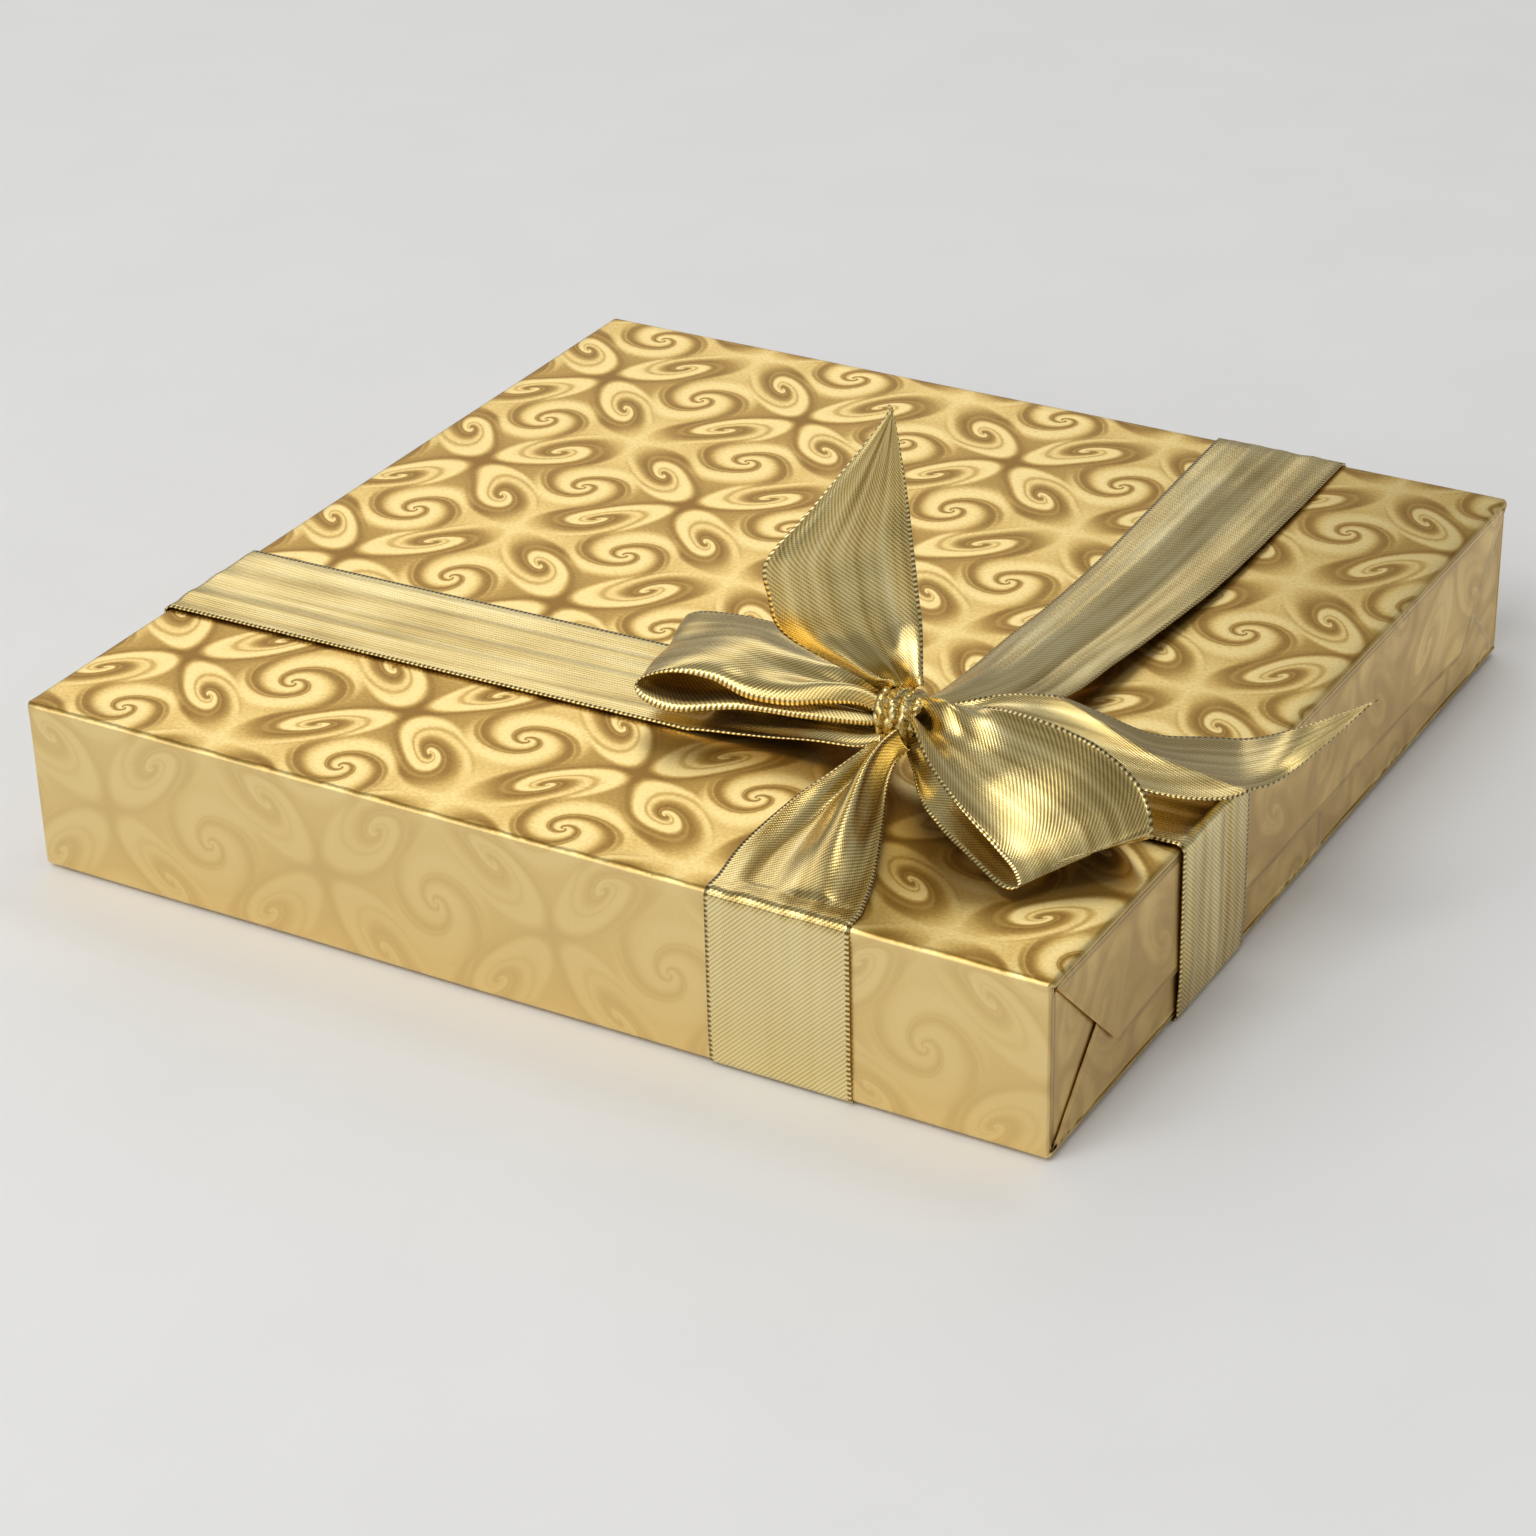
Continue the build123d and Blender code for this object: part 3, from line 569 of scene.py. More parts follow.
# A smooth curve through places, at t from 0 at the first to 1 at the last
def along_rows(places, t):
    span = min(int(t * (len(places) - 1)), len(places) - 2)
    u = t * (len(places) - 1) - span
    p1, p2 = places[span], places[span + 1]
    p0 = places[span - 1] if span else p1 * 2 - p2
    p3 = places[span + 2] if span + 2 < len(places) else p2 * 2 - p1
    return (
        p1 * 2
        + (p2 - p0) * u
        + (p0 * 2 - p1 * 5 + p2 * 4 - p3) * u**2
        + (p1 * 3 - p0 - p2 * 3 + p3) * u**3
    ) / 2


# Level directions along a heading, and turned from it to one side
def heading_axes(heading, turn):
    angle = math.radians(heading)
    side = math.radians(heading + turn)
    return (
        Vector((math.cos(angle), math.sin(angle), 0)),
        Vector((math.cos(side), math.sin(side), 0)),
    )


# Places along one selvedge, from its rows of shares
def loop_edge(shares, reach, height, heading, turn):
    out, side = heading_axes(heading, turn)
    knot = Vector((knot_x, knot_y, top_z))
    return [
        knot + out * (o * reach) + side * (s * ribbon_width) + Vector((0, 0, r * height))
        for o, s, r in shares
    ]


def tail_edge(shares):
    across, back = heading_axes(upright_tail_heading, 90)
    knot = Vector((knot_x, knot_y, top_z))
    return [
        knot
        + across * (a * ribbon_width)
        + back * (b * upright_tail_setback)
        + Vector((0, 0, r * upright_tail_height))
        for a, b, r in shares
    ]


# Folds lift a ribbon off the straight line between its selvedges. In each, s is
# the share of the way across it, t the share of the way along and w its width. A
# pair of shares is a ridge's centre and reach, or where a fold starts and is full.
# Pleats are as deep as the width that the ribbon has to spare makes them
def pleats(s, width, waves, phase):
    slack = max(ribbon_width - width, 0)
    depth = math.sqrt(width * slack) / (math.pi * waves)
    return depth * math.sin(TAU * waves * (s + phase))


def arch(s, height, lean=1.0):
    return height * math.sin(math.pi * s**lean)


def ease(value, low, high):
    share = min(max((value - low) / (high - low), 0), 1)
    return share * share * (3 - 2 * share)


# 1 at the centre, and falling off on both sides
def ridge_at(value, centre, reach):
    return math.exp(-(((value - centre) / reach) ** 2))


# 1 at the knot and 0 from a share of the way on: for a loop, which has the knot
# at both ends, and for a tail
def near_knot(t, reach):
    return 1 - ease(min(t, 1 - t), 0, reach)


def from_knot(t, reach):
    return 1 - ease(t, 0, reach)


# A loop's bulge is flatter at its far end
def end_flat(t, share, power):
    return 1 - share * math.sin(math.pi * t) ** power


ribbon_columns = 28


# A ribbon held between its two selvedges, with a fold given at each place. It
# gives the piece, and the length along the ribbon's middle
def ribbon_strip(name, first_rows, second_rows, fold, side=1):
    rows, places = [], []
    length = 0.0
    last = None
    count = len(first_rows)
    for k in range(count):
        first, second = first_rows[k], second_rows[k]
        before, after = max(k - 1, 0), min(k + 1, count - 1)
        start = first_rows[before] + second_rows[before]
        travel = (first_rows[after] + second_rows[after]) - start
        across = second - first
        normal = travel.cross(across).normalized() * side
        middle = (first + second) / 2
        if last is not None:
            length += (middle - last).length
        last = middle
        row, place = [], []
        for j in range(ribbon_columns + 1):
            s = j / ribbon_columns
            depth = fold(s, k / (count - 1), across.length)
            row.append(first.lerp(second, s) + normal * depth)
            place.append((s * ribbon_width, length))
        rows.append(row)
        places.append(place)
    piece = grid_object(name, rows, places, "Ribbon", ribbon)
    thicken(piece, ribbon_thickness)
    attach(piece, "root")
    return piece, length


def smooth_rows(edge, steps):
    return [along_rows(edge, k / steps) for k in range(steps + 1)]


# Slow irregular waves of a given size
def ripple(scale, size, seed):
    def shift(s, t, width):
        return noise.noise(Vector((s * scale[0], t * scale[1], seed))) * size

    return shift


# Loops of the bow: pleats by the knot, and between them a bulge, which keeps
# facing out as the ribbon turns over at the loop's end
loop_steps = 150
left_waves = ripple((2.5, 6), 0.9 * MM, 3.1)
left_pleats, left_gather = 2.5, 0.42
left_pleat_phase, left_pleat_drift = 0.1, 0.30
left_bulge, left_bulge_lean = 3.2 * MM, 0.6
left_turn_over, left_end = (0.38, 0.62), (0.7, 8)


def left_fold(s, t, w):
    gather = near_knot(t, left_gather)
    fold = pleats(s, w, left_pleats, left_pleat_phase + left_pleat_drift * t) * gather
    crest = (2 * ease(t, *left_turn_over) - 1) * end_flat(t, *left_end)
    fold += arch(s, left_bulge, left_bulge_lean) * crest * (1 - gather)
    return fold + left_waves(s, t, w) * math.sin(math.pi * s)


left_loop, left_length = ribbon_strip(
    "left_loop",
    smooth_rows(loop_edge(left_loop_front_shares, *left_loop_sizes), loop_steps),
    smooth_rows(loop_edge(left_loop_back_shares, *left_loop_sizes), loop_steps),
    left_fold,
)
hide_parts("bow_left_loop")

right_waves = ripple((1.5, 5), 0.9 * MM, 8.7)
right_pleats, right_pleat_phase, right_gather = 1.5, 0.42, 0.24
right_bulge, right_end = 2.6 * MM, (0.75, 6)
right_dimple, right_dimple_across, right_dimple_along = 2.0 * MM, (0.62, 0.18), (0.10, 0.055)


def right_fold(s, t, w):
    gather = near_knot(t, right_gather)
    fold = pleats(s, w, right_pleats, right_pleat_phase) * gather
    dimple = ridge_at(s, *right_dimple_across) * ridge_at(t, *right_dimple_along)
    fold -= right_dimple * dimple
    fold += arch(s, right_bulge) * (1 - gather) * end_flat(t, *right_end)
    return fold + right_waves(s, t, w) * math.sin(math.pi * s)


right_loop, right_length = ribbon_strip(
    "right_loop",
    smooth_rows(loop_edge(right_loop_front_shares, *right_loop_sizes), loop_steps),
    smooth_rows(loop_edge(right_loop_back_shares, *right_loop_sizes), loop_steps),
    right_fold,
    side=-1,
)
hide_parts("bow_right_loop")

# Tails of the bow: the upright one bends along a soft lengthwise fold, and the
# right one has a ridge that crosses it slantwise
tail_steps = 110
tail_waves = ripple((5, 1.5), 0.5 * MM, 5.3)
tail_pleats = 1.5
upright_pleat_phase, upright_gather = 0.25, 0.45
upright_bend, upright_lean = 5.0 * MM, 2.6 * MM
upright_bend_middle, upright_bend_drift = 0.46, 0.12
upright_bend_start, upright_bend_fade = (0.05, 0.35), 0.75
upright_side_ridge, upright_side_share = (0.80, 0.12), 0.35
upright_lean_along, upright_lean_across = (0.25, 0.85), (0.2, 0.7)
right_tail_phase, right_tail_gather, right_tail_pleat_share = 0.3, 0.3, 0.8
right_tail_ridge, right_tail_ridge_reach = 1.3 * MM, 0.22
right_tail_ridge_start, right_tail_ridge_run = 0.30, 0.42
right_tail_ridge_in, right_tail_ridge_out = (0.2, 0.4), (0.7, 0.8)
right_tail_wave_share = 0.4


def upright_fold(s, t, w):
    fold = pleats(s, w, tail_pleats, upright_pleat_phase) * from_knot(t, upright_gather)
    panel = abs(s - upright_bend_middle + upright_bend_drift * t)
    panel += upright_side_share * ridge_at(s, *upright_side_ridge)
    fade = 1 - upright_bend_fade * t
    fold += panel * upright_bend * ease(t, *upright_bend_start) * fade
    lean = ease(t, *upright_lean_along) * (1 - s) * ease(1 - s, *upright_lean_across)
    fold -= upright_lean * lean * w / ribbon_width
    return fold + tail_waves(s, t, w)


upright_tail, upright_length = ribbon_strip(
    "upright_tail",
    smooth_rows(tail_edge(upright_tail_left_shares), tail_steps),
    smooth_rows(tail_edge(upright_tail_right_shares), tail_steps),
    upright_fold,
)
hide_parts("bow_upright_tail")


def right_tail_fold(s, t, w):
    fold = pleats(s, w, tail_pleats, right_tail_phase) * from_knot(t, right_tail_gather)
    fold *= right_tail_pleat_share
    slant = (1 - s) - (t - right_tail_ridge_start) / right_tail_ridge_run
    shown = ease(t, *right_tail_ridge_in) * (1 - ease(t, *right_tail_ridge_out))
    fold += right_tail_ridge * math.exp(-abs(slant) / right_tail_ridge_reach) * shown
    return fold + tail_waves(s, t, w) * right_tail_wave_share * (1 - t)


right_tail, right_tail_length = ribbon_strip(
    "right_tail",
    smooth_rows(loop_edge(right_tail_front_shares, *right_tail_sizes), tail_steps),
    smooth_rows(loop_edge(right_tail_back_shares, *right_tail_sizes), tail_steps),
    right_tail_fold,
)
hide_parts("bow_right_tail")


# The two turns round the parcel. Each row is a place along the turn's way, a
# height, the middle of the ribbon and its width
corner_steps, arm_steps = 6, 70
drop_steps, low_top_steps, high_top_steps = 12, 24, 16
fold_clearance = 0.1 * MM
fold_start, fold_full = 2 * MM, 8 * MM


def corner_rows(turn_along, turn_z, start, middle):
    radius = paper_edge_radius + ribbon_lie
    rows = []
    for k in range(corner_steps + 1):
        angle = math.radians(start - 90 + 90 * k / corner_steps)
        along = turn_along + radius * math.cos(angle)
        rows.append((along, turn_z + radius * math.sin(angle), middle, ribbon_width))
    return rows


def arm_rows(shares, knot_along, edge_along, knot_middle):
    stations = []
    for d, m, w, r in shares:
        along = knot_along + d * (edge_along - knot_along)
        height = top_z + ribbon_lie + r * knot_rise
        middle = knot_middle + m * ribbon_width
        stations.append(Vector((along, height, middle, w * ribbon_width)))
    return [tuple(along_rows(stations, k / arm_steps)) for k in range(arm_steps + 1)]


# One turn as a strip. Its folds never sink into the paper, and end where it goes
# down the sides
def band(name, rows, place, fold, side):
    first = [place(a, z, m - w / 2) for a, z, m, w in rows]
    second = [place(a, z, m + w / 2) for a, z, m, w in rows]

    def laid(s, t, w):
        height = rows[round(t * (len(rows) - 1))][1]
        room = max(height - top_z - ribbon_lie, 0) + fold_clearance
        return max(fold(s, t, w), -room) * ease(height, fold_start, fold_full)

    return ribbon_strip(name, first, second, laid, side=side)


def straight_rows(start, end, steps):
    start, end = Vector(start), Vector(end)
    return [tuple(start.lerp(end, k / steps)) for k in range(1, steps)]


# A whole turn, from the knot out along the low arm, down, under the parcel at
# the given height, up, and back along the high arm
def turn_rows(along_low, along_high, low_middle, high_middle, low_arm, high_arm, under):
    arc_low, arc_high = along_low + paper_edge_radius, along_high - paper_edge_radius
    arc_top = top_z - paper_edge_radius
    arc_bottom = under + paper_edge_radius + ribbon_lie
    low_top = corner_rows(arc_low, arc_top, 180, low_middle)
    low_bottom = corner_rows(arc_low, arc_bottom, 270, low_middle)
    high_bottom = corner_rows(arc_high, arc_bottom, 360, high_middle)
    high_top = corner_rows(arc_high, arc_top, 450, high_middle)
    rows = low_arm + straight_rows(low_arm[-1], low_top[0], low_top_steps)
    rows += low_top + straight_rows(low_top[-1], low_bottom[0], drop_steps) + low_bottom
    rows += high_bottom
    rows += straight_rows(high_bottom[-1], high_top[0], drop_steps) + high_top
    rows += straight_rows(high_top[-1], high_arm[-1], high_top_steps)
    return rows + high_arm[::-1]


# Lengthwise grooves of a taut ribbon, and the folds of its arms by the knot
groove_waves = ripple((8, 1.0), 0.36 * MM, 1.7)
groove_run = 9
groove_margin, lift_margin = 0.1, 0.12
long_pleats, long_pleat_phase, long_pleat_share = 1.5, 0.25, 0.5
long_rise, long_lift, long_lift_end = 0.3 * MM, 0.7 * MM, (0.08, 0.20)
long_hollow, long_hollow_end = (0.55, 0.13), (0.10, 0.20)
cross_rise, cross_groove_share = 0.25 * MM, 0.7
front_ridge, front_groove, front_groove_share = (0.66, 0.16), (0.30, 0.15), 0.5
back_swell, back_groove, back_groove_share = (0.30, 0.30), (0.62, 0.10), 0.35
back_lift, back_share = 0.35, 0.5
front_end, front_end_reach = 0.5, 0.01

# Heights of the ribbon's middle under the parcel, where one turn crosses the other
long_band_level = ribbon_thickness * 0.52
cross_band_level = ribbon_thickness * 1.56


def grooves(s, t, w):
    return groove_waves(s, groove_run * t, w) * ease(s * (1 - s), 0, groove_margin)


def long_fold(s, t, w):
    hollow = ridge_at(s, *long_hollow) * (1 - ease(t, *long_hollow_end))
    raised = (1 - ease(t, *long_lift_end)) * (1 - hollow) * ease(s * (1 - s), 0, lift_margin)
    fold = abs(pleats(s, w, long_pleats, long_pleat_phase)) * long_pleat_share
    return fold + grooves(s, t, w) + long_rise + long_lift * raised


# The front arm has a ridge beside a groove, and the back arm a broad swell
def cross_fold(s, t, w):
    front = ease(front_end - t, 0, front_end_reach)
    ridge = ridge_at(s, *front_ridge) - front_groove_share * ridge_at(s, *front_groove)
    broad = ridge_at(s, *back_swell) - back_groove_share * ridge_at(s, *back_groove)
    broad += back_lift
    depth = math.sqrt(w * max(ribbon_width - w, 0)) / math.pi
    fold = depth * (ridge * front + broad * back_share * (1 - front))
    return fold + grooves(s, t, w) * cross_groove_share + cross_rise


long_rows = turn_rows(
    left_x,
    right_x,
    long_band_left_y,
    long_band_right_y,
    arm_rows(left_arm_shares, knot_x, left_x, knot_y),
    arm_rows(right_arm_shares, knot_x, right_x, knot_y),
    long_band_level,
)
long_band, long_length = band(
    "long_band",
    long_rows,
    lambda x, z, y: Vector((x, y, z)),
    long_fold,
    side=-1,
)
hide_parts("ribbon_long_band")

cross_rows = turn_rows(
    front_y,
    back_y,
    cross_band_front_x,
    cross_band_back_x,
    arm_rows(front_arm_shares, knot_y, front_y, knot_x),
    arm_rows(back_arm_shares, knot_y, back_y, knot_x),
    cross_band_level,
)
cross_band, cross_length = band(
    "cross_band",
    cross_rows,
    lambda y, z, x: Vector((x, y, z)),
    cross_fold,
    side=1,
)
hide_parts("ribbon_cross_band")

# The knot, wrapped in tight crumpled folds that lean as they go round
knot_radius = 4.6 * MM
knot_width = 7.4 * MM
knot_heading = -8.0
knot_folds, knot_fold_power = 3.4, 0.7
knot_lean, knot_lean_phase = 0.55, 0.8
knot_drift_scale, knot_drift_run, knot_drift = 1.3, 2.5, 1.2
knot_crumple_scale, knot_crumple_run, knot_crumple = 4.2, 9, 0.10
knot_fullness, knot_crease, knot_shoulder = 0.97, 0.24, 0.30
knot_flare, knot_uneven = 0.12, 0.1
knot_steps, knot_columns = 96, 48
knot_out, knot_side = heading_axes(knot_heading, 90)
knot_middle = Vector((knot_x, knot_y, knot_z))
knot_rows, knot_places = [], []
for i in range(knot_steps + 1):
    turn = TAU * i / knot_steps
    lean = knot_lean * math.sin(turn + knot_lean_phase)
    ring = Vector((math.cos(turn), math.sin(turn), 0))
    row, place = [], []
    for j in range(knot_columns + 1):
        s = j / knot_columns
        drift = noise.noise(ring * knot_drift_scale + Vector((0, 0, knot_drift_run * s)))
        wave = math.pi * knot_folds * s + lean + knot_drift * drift
        crest = 1 - abs(math.sin(wave)) ** knot_fold_power
        run = knot_crumple_run * (s + 1)
        crumple = noise.noise(ring * knot_crumple_scale + Vector((0, 0, run)))
        shoulder = 1 - knot_shoulder * (2 * s - 1) ** 4
        crushed = knot_fullness - knot_crease * crest + knot_crumple * crumple
        radius = knot_radius * shoulder * crushed
        flare = 1 + knot_flare * math.sin(turn) + knot_uneven * drift
        across = (s - 0.5) * knot_width * flare
        around = knot_side * math.cos(turn) + Vector((0, 0, math.sin(turn)))
        row.append(knot_middle + knot_out * across + around * radius)
        place.append((s * ribbon_width, radius * turn))
    knot_rows.append(row)
    knot_places.append(place)
knot = grid_object("knot", knot_rows, knot_places, "Ribbon", ribbon)
thicken(knot, ribbon_thickness, offset=-1.0)
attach(knot, "root")
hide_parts("bow_knot")


# Wrapping paper: a sheet round the box, and the folded ends. The sheet's path
# runs through corners, each rounded off, with points at an even spacing
arc_steps = 6
path_spacing = 2.5 * MM
body_columns = 112


def rounded_path(corners, radius):
    path = []
    for k, corner in enumerate(corners):
        corner = Vector(corner)
        if k in (0, len(corners) - 1):
            turn = [corner]
        else:
            into = (corner - Vector(corners[k - 1])).normalized()
            away = (Vector(corners[k + 1]) - corner).normalized()
            centre = corner + (away - into) * radius
            turn = []
            for step in range(arc_steps + 1):
                angle = math.pi / 2 * step / arc_steps
                bent = into * math.sin(angle) - away * math.cos(angle)
                turn.append(centre + bent * radius)
        if path:
            start = path[-1]
            steps = max(round((turn[0] - start).length / path_spacing), 1)
            path += [start.lerp(turn[0], i / steps) for i in range(1, steps)]
        path += turn
    return path


half_paper = paper_thickness / 2
bend = paper_edge_radius - half_paper
inner_layer = base_z + paper_thickness * 1.5
outer_layer = base_z + half_paper
top_layer = top_z - half_paper
tube_path = rounded_path(
    [
        (-seam_lap / 2, inner_layer),
        (back_y - half_paper, inner_layer),
        (back_y - half_paper, top_layer),
        (front_y + half_paper, top_layer),
        (front_y + half_paper, outer_layer),
        (seam_lap / 2, outer_layer),
    ],
    bend,
)


# Small ridges along the front top edge, and a faint swell of the faces. They
# stand out, so that the card below never shows through
dent_reach, dent_height = 2.5 * MM, 0.60 * MM
dent_scale = (150, 60, 60)
swell_scale, swell_height, swell_depth = 24, 0.10 * MM, 0.04 * MM


def paper_dent(place):
    near_edge = ridge_at(place.z, top_z, dent_reach) * ridge_at(place.y, front_y, dent_reach)
    dent = noise.noise(Vector([a * b for a, b in zip(place, dent_scale)]))
    swell = noise.noise(place * swell_scale)
    return abs(dent) * dent_height * near_edge + max(swell * swell_height, -swell_depth)


# Places down the sides of the sheet, counted on from those on top
def sheet_v(y, z):
    if z > top_z - top_margin:
        return y
    return y - (top_z - z) if y < 0 else y + (top_z - z)


# Depth of each folded layer inside the parcel's end
tuck_layer = 0.60 * MM
inner_flap_layer = 0.44 * MM
outer_flap_layer = 0.28 * MM
top_flap_layer = half_paper + 0.02 * MM


# Out of the sheet at a point of its path, as a direction in the path's plane
def outward_at(k):
    before, after = tube_path[max(k - 1, 0)], tube_path[min(k + 1, len(tube_path) - 1)]
    travel = (after - before).normalized()
    return Vector((travel.y, -travel.x))


def layer_at(outward, k):
    below = inner_flap_layer if k < len(tube_path) / 2 else outer_flap_layer
    facing = top_flap_layer if outward.y > 0 else below
    return tuck_layer + (facing - tuck_layer) * outward.y**2


# The sheet round the box, with the rounded edge where its ends turn down
body_reach = parcel_length / 2 - paper_edge_radius
middle_x = (left_x + right_x) / 2
edge_run_share = 0.5
columns = [(-1, math.pi / 2 * (arc_steps - k) / arc_steps) for k in range(arc_steps)]
columns += [(2 * k / body_columns - 1, 0.0) for k in range(body_columns + 1)]
columns += [(1, math.pi / 2 * (k + 1) / arc_steps) for k in range(arc_steps)]
tube_rows, tube_places = [], []
for k, point in enumerate(tube_path):
    outward = outward_at(k)
    reach = paper_edge_radius - layer_at(outward, k)
    row, place = [], []
    for share, angle in columns:
        sign = 1 if share > 0 else -1
        x = middle_x + share * body_reach + sign * reach * math.sin(angle)
        inner = point - outward * (bend * (1 - math.cos(angle)))
        spot = Vector((x, inner.x, inner.y))
        dent = paper_dent(spot) * math.cos(angle)
        row.append(spot + Vector((0, outward.x, outward.y)) * dent)
        edge_run = sign * bend * angle * edge_run_share
        place.append((x + edge_run, sheet_v(point.x, point.y)))
    tube_rows.append(row)
    tube_places.append(place)
paper = grid_object("paper", tube_rows, tube_places, "Sheet", foil)


# One folded end piece, from an edge of the sheet inwards over the end. Its
# slanting sides draw in as fast as the taper says, and lift a little
fold_steps = 16
fold_lift_plain, fold_lift_edge, fold_lift_power = 0.3, 2.2, 12
fold_run_start = bend * 0.8
lower_flap_lift, top_flap_lift = 0.10 * MM, 0.35 * MM


def end_fold(sign, edge, reach, taper, inward, lift):
    rows, places = [], []
    along = edge[-1] - edge[0]
    for step in range(fold_steps + 1):
        depth = reach * step / fold_steps
        row, place = [], []
        for point in edge:
            s = (point - edge[0]).dot(along) / along.dot(along)
            drawn_in = depth * (taper[0] * (1 - s) - taper[1] * s)
            drawn = point + along.normalized() * drawn_in
            edge_lift = max((1 - s) * taper[0], s * taper[1]) ** fold_lift_power
            rise = lift * (depth / reach) ** 2 * (fold_lift_plain + fold_lift_edge * edge_lift)
            row.append(drawn + inward * depth + Vector((sign * rise, 0, 0)))
            sideways = drawn.y if abs(inward.z) > 0 else sheet_v(drawn.y, drawn.z)
            place.append((point.x + sign * (fold_run_start + depth), sideways))
        rows.append(row)
        places.append(place)
    return grid_object("fold", rows, places, "Sheet", foil)


# Pieces made one with the first, and sewn together where their edges meet
weld_reach = 0.005 * MM


def join(target, pieces):
    bpy.ops.object.select_all(action="DESELECT")
    for piece in pieces:
        piece.select_set(True)
    target.select_set(True)
    bpy.context.view_layer.objects.active = target
    bpy.ops.object.join()
    bpy.ops.object.mode_set(mode="EDIT")
    bpy.ops.mesh.select_all(action="SELECT")
    bpy.ops.mesh.remove_doubles(threshold=weld_reach)
    bpy.ops.object.mode_set(mode="OBJECT")


# Points of the sheet's path that face one way, in its first half, its second or
# both
same_way = 0.999


def facing(direction, first=0.0, last=1.0):
    count = len(tube_path)
    chosen = range(round(first * count), round(last * count))
    return [k for k in chosen if outward_at(k).dot(Vector(direction)) > same_way]


front_rows = facing((-1, 0))
back_rows = facing((1, 0))
top_rows = facing((0, 1))
inner_rows = facing((0, -1), last=0.5)
outer_rows = facing((0, -1), first=0.5)
folds = []
for sign, column in ((-1, 0), (1, -1)):
    for rows, taper, inward, lift in (
        (front_rows, (0, 0), (0, 1, 0), 0.0),
        (back_rows, (0, 0), (0, -1, 0), 0.0),
        (inner_rows, (0, 1), (0, 0, 1), lower_flap_lift),
        (outer_rows, (1, 0), (0, 0, 1), lower_flap_lift),
        (top_rows, (1, 1), (0, 0, -1), top_flap_lift),
    ):
        edge = [tube_rows[k][column] for k in rows]
        folds.append(end_fold(sign, edge, flap_reach, taper, Vector(inward), lift))
join(paper, folds)
thicken(paper, paper_thickness)
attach(paper, "root")
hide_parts("wrapping_paper")

# Finishes of the pieces that stay as the frame has them: name, darker and paler
# tone, scale of the fibres, roughness, depth and metal
finishes = {
    "box_card": (
        "lined_board", (0.72, 0.66, 0.54), (0.90, 0.86, 0.76), 400, 0.55, 0.03 * MM,
    ),
    "pad_paper": (
        "padding_paper", (0.85, 0.81, 0.72), (0.96, 0.93, 0.86), 160, 0.6, 0.3 * MM,
    ),
    "tray_plastic": (
        "tray_sheet", (0.42, 0.28, 0.09), (0.60, 0.43, 0.17), 220, 0.25, 0.02 * MM, 0.6,
    ),
    "tape": (
        "tape_film", (0.85, 0.84, 0.78), (0.95, 0.94, 0.90), 500, 0.35, 0.01 * MM,
    ),
    "dark_chocolate": (
        "dark_chocolate", (0.045, 0.018, 0.010), (0.085, 0.035, 0.020), 90, 0.32, 0.05 * MM,
    ),
    "milk_chocolate": (
        "milk_chocolate", (0.13, 0.058, 0.028), (0.20, 0.095, 0.048), 90, 0.34, 0.05 * MM,
    ),
    "white_chocolate": (
        "white_chocolate", (0.72, 0.60, 0.38), (0.86, 0.77, 0.56), 90, 0.36, 0.05 * MM,
    ),
}
materials = {slot: plain_material(*finish) for slot, finish in finishes.items()}
for part in frame["record"]["subparts"]:
    material = materials.get(part["material_slot"])
    if material:
        for slot in frame["nodes"][part["node"]].material_slots:
            slot.material = material

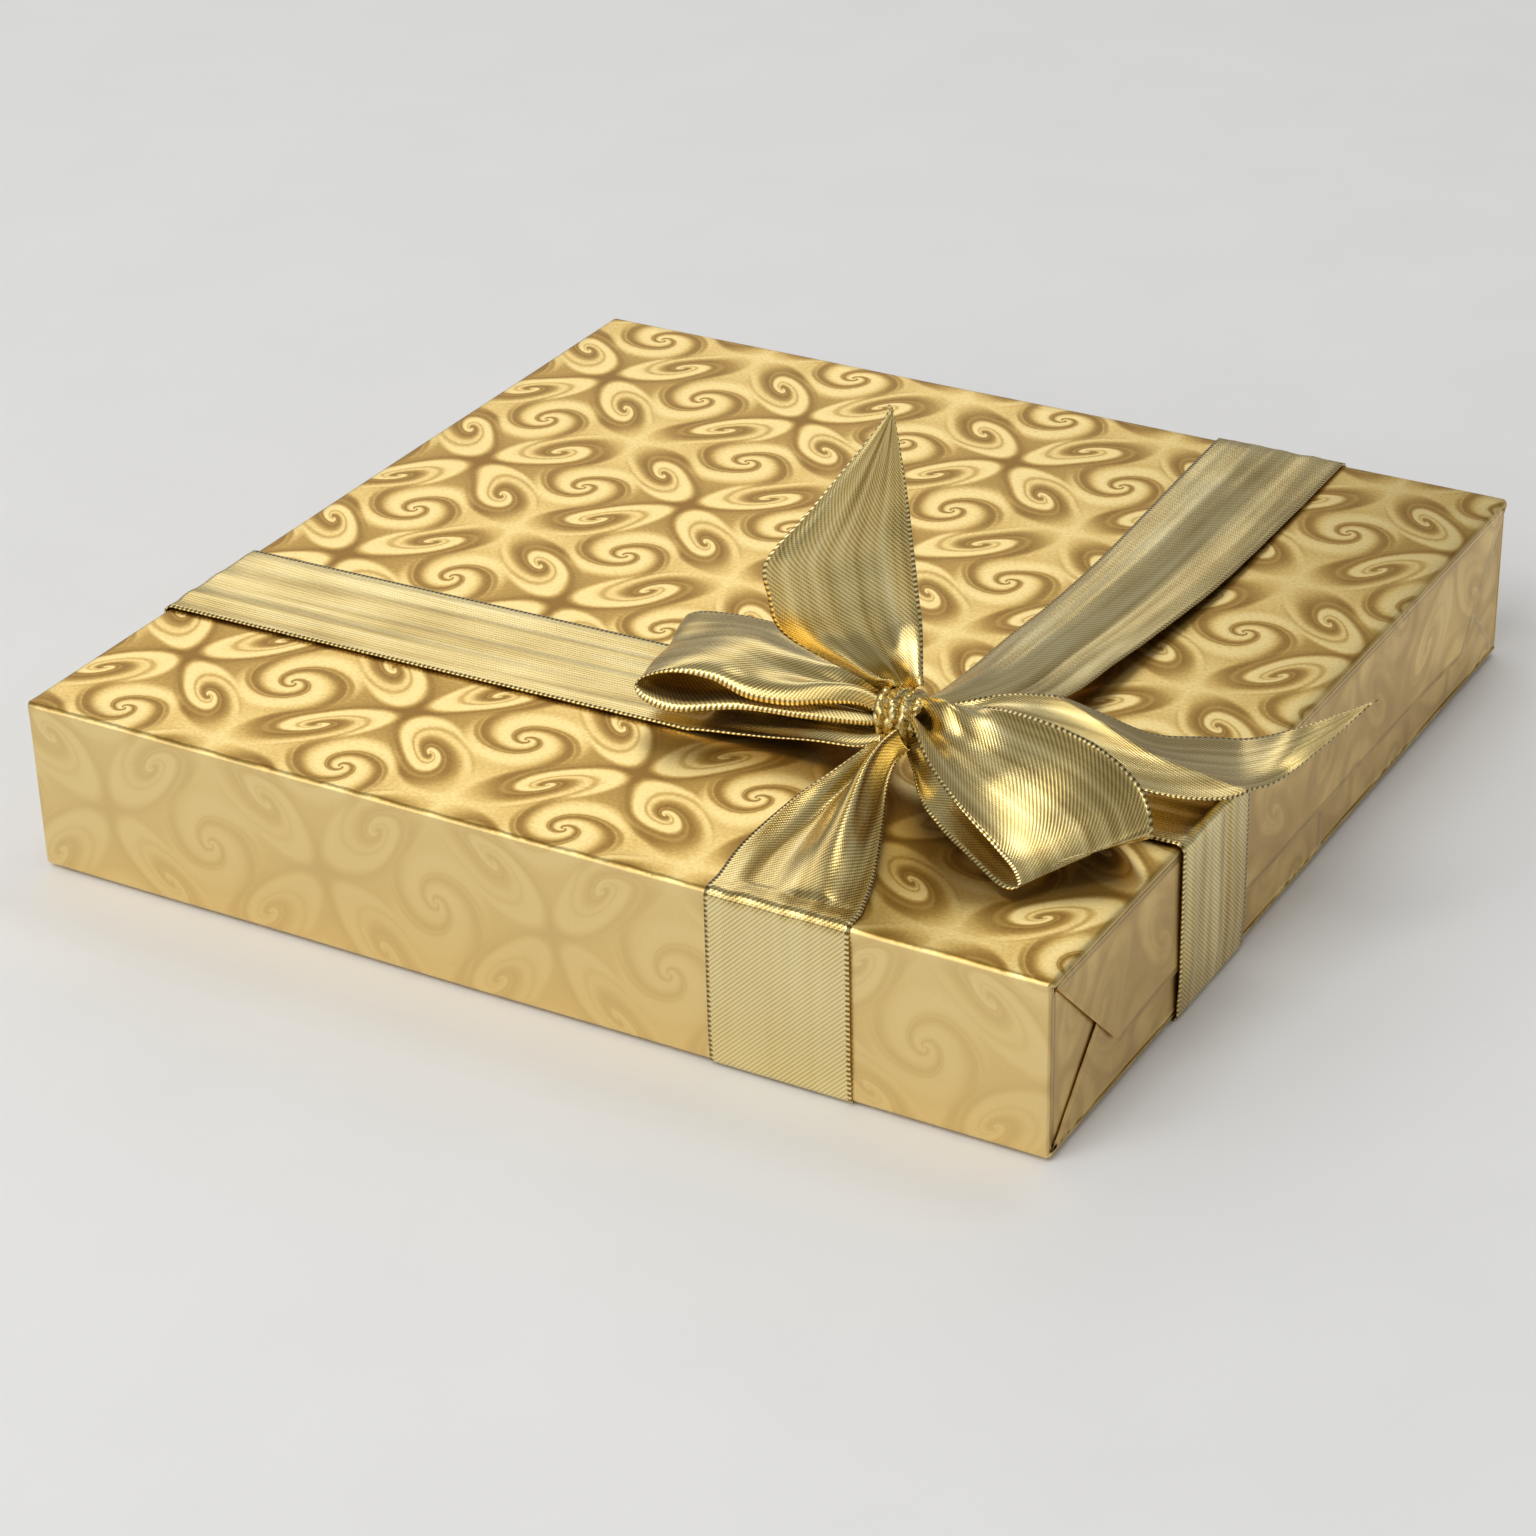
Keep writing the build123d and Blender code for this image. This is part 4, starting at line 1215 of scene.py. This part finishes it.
# Floor, light and camera
floor_size = 6.0
bpy.ops.mesh.primitive_plane_add(size=floor_size, location=(0, 0, 0))
floor = bpy.context.object
floor.name = "floor"
floor_finish = ("floor_paint", (0.87, 0.87, 0.87), (0.89, 0.89, 0.89), 30, 0.7, 0.0)
floor.data.materials.append(plain_material(*floor_finish))

# Each lamp's place, size, glow and colour. The back one is what the paper's top
# mirrors towards the camera
lamps = {
    "back_softbox": ((-1.2, 1.25, 1.08), (1.5, 0.8), 1.25, (1.0, 0.98, 0.94)),
    "top_softbox": ((-0.2, -1.0, 1.5), (1.0, 0.9), 3.6, (1.0, 0.99, 0.96)),
    "rear_top_softbox": ((0.05, 0.7, 1.5), (0.5, 0.4), 4.0, (1.0, 0.99, 0.96)),
    "front_fill": ((-0.55, -1.45, 0.80), (2.2, 1.0), 1.25, (1.0, 0.98, 0.95)),
}
for name, (place, size, glow, colour) in lamps.items():
    lamp_data = bpy.data.lights.new(name, "AREA")
    lamp_data.shape = "RECTANGLE"
    lamp_data.size, lamp_data.size_y = size
    lamp_data.energy = glow * math.pi * size[0] * size[1]
    lamp_data.color = colour
    lamp = bpy.data.objects.new(name, lamp_data)
    lamp.location = place
    lamp.visible_camera = False
    aim = Vector((0, 0, top_z)) - Vector(place)
    lamp.rotation_euler = aim.to_track_quat("-Z", "Y").to_euler()
    bpy.context.collection.objects.link(lamp)

world_colour = (0.97, 0.98, 1.0, 1)
world_glow = 0.35
world = bpy.data.worlds.new("studio")
bpy.context.scene.world = world
world.use_nodes = True
background = world.node_tree.nodes["Background"]
background.inputs["Color"].default_value = world_colour
background.inputs["Strength"].default_value = world_glow
bpy.context.scene.view_settings.view_transform = "Standard"

camera_data = bpy.data.cameras.new("camera")
camera_data.lens = camera_lens
camera_data.sensor_width = camera_sensor
camera_data.clip_end = camera_reach
camera = bpy.data.objects.new("camera", camera_data)
camera.location = camera_place
camera.rotation_euler = Euler([math.radians(a) for a in camera_turn], "XYZ")
bpy.context.collection.objects.link(camera)
bpy.context.scene.camera = camera
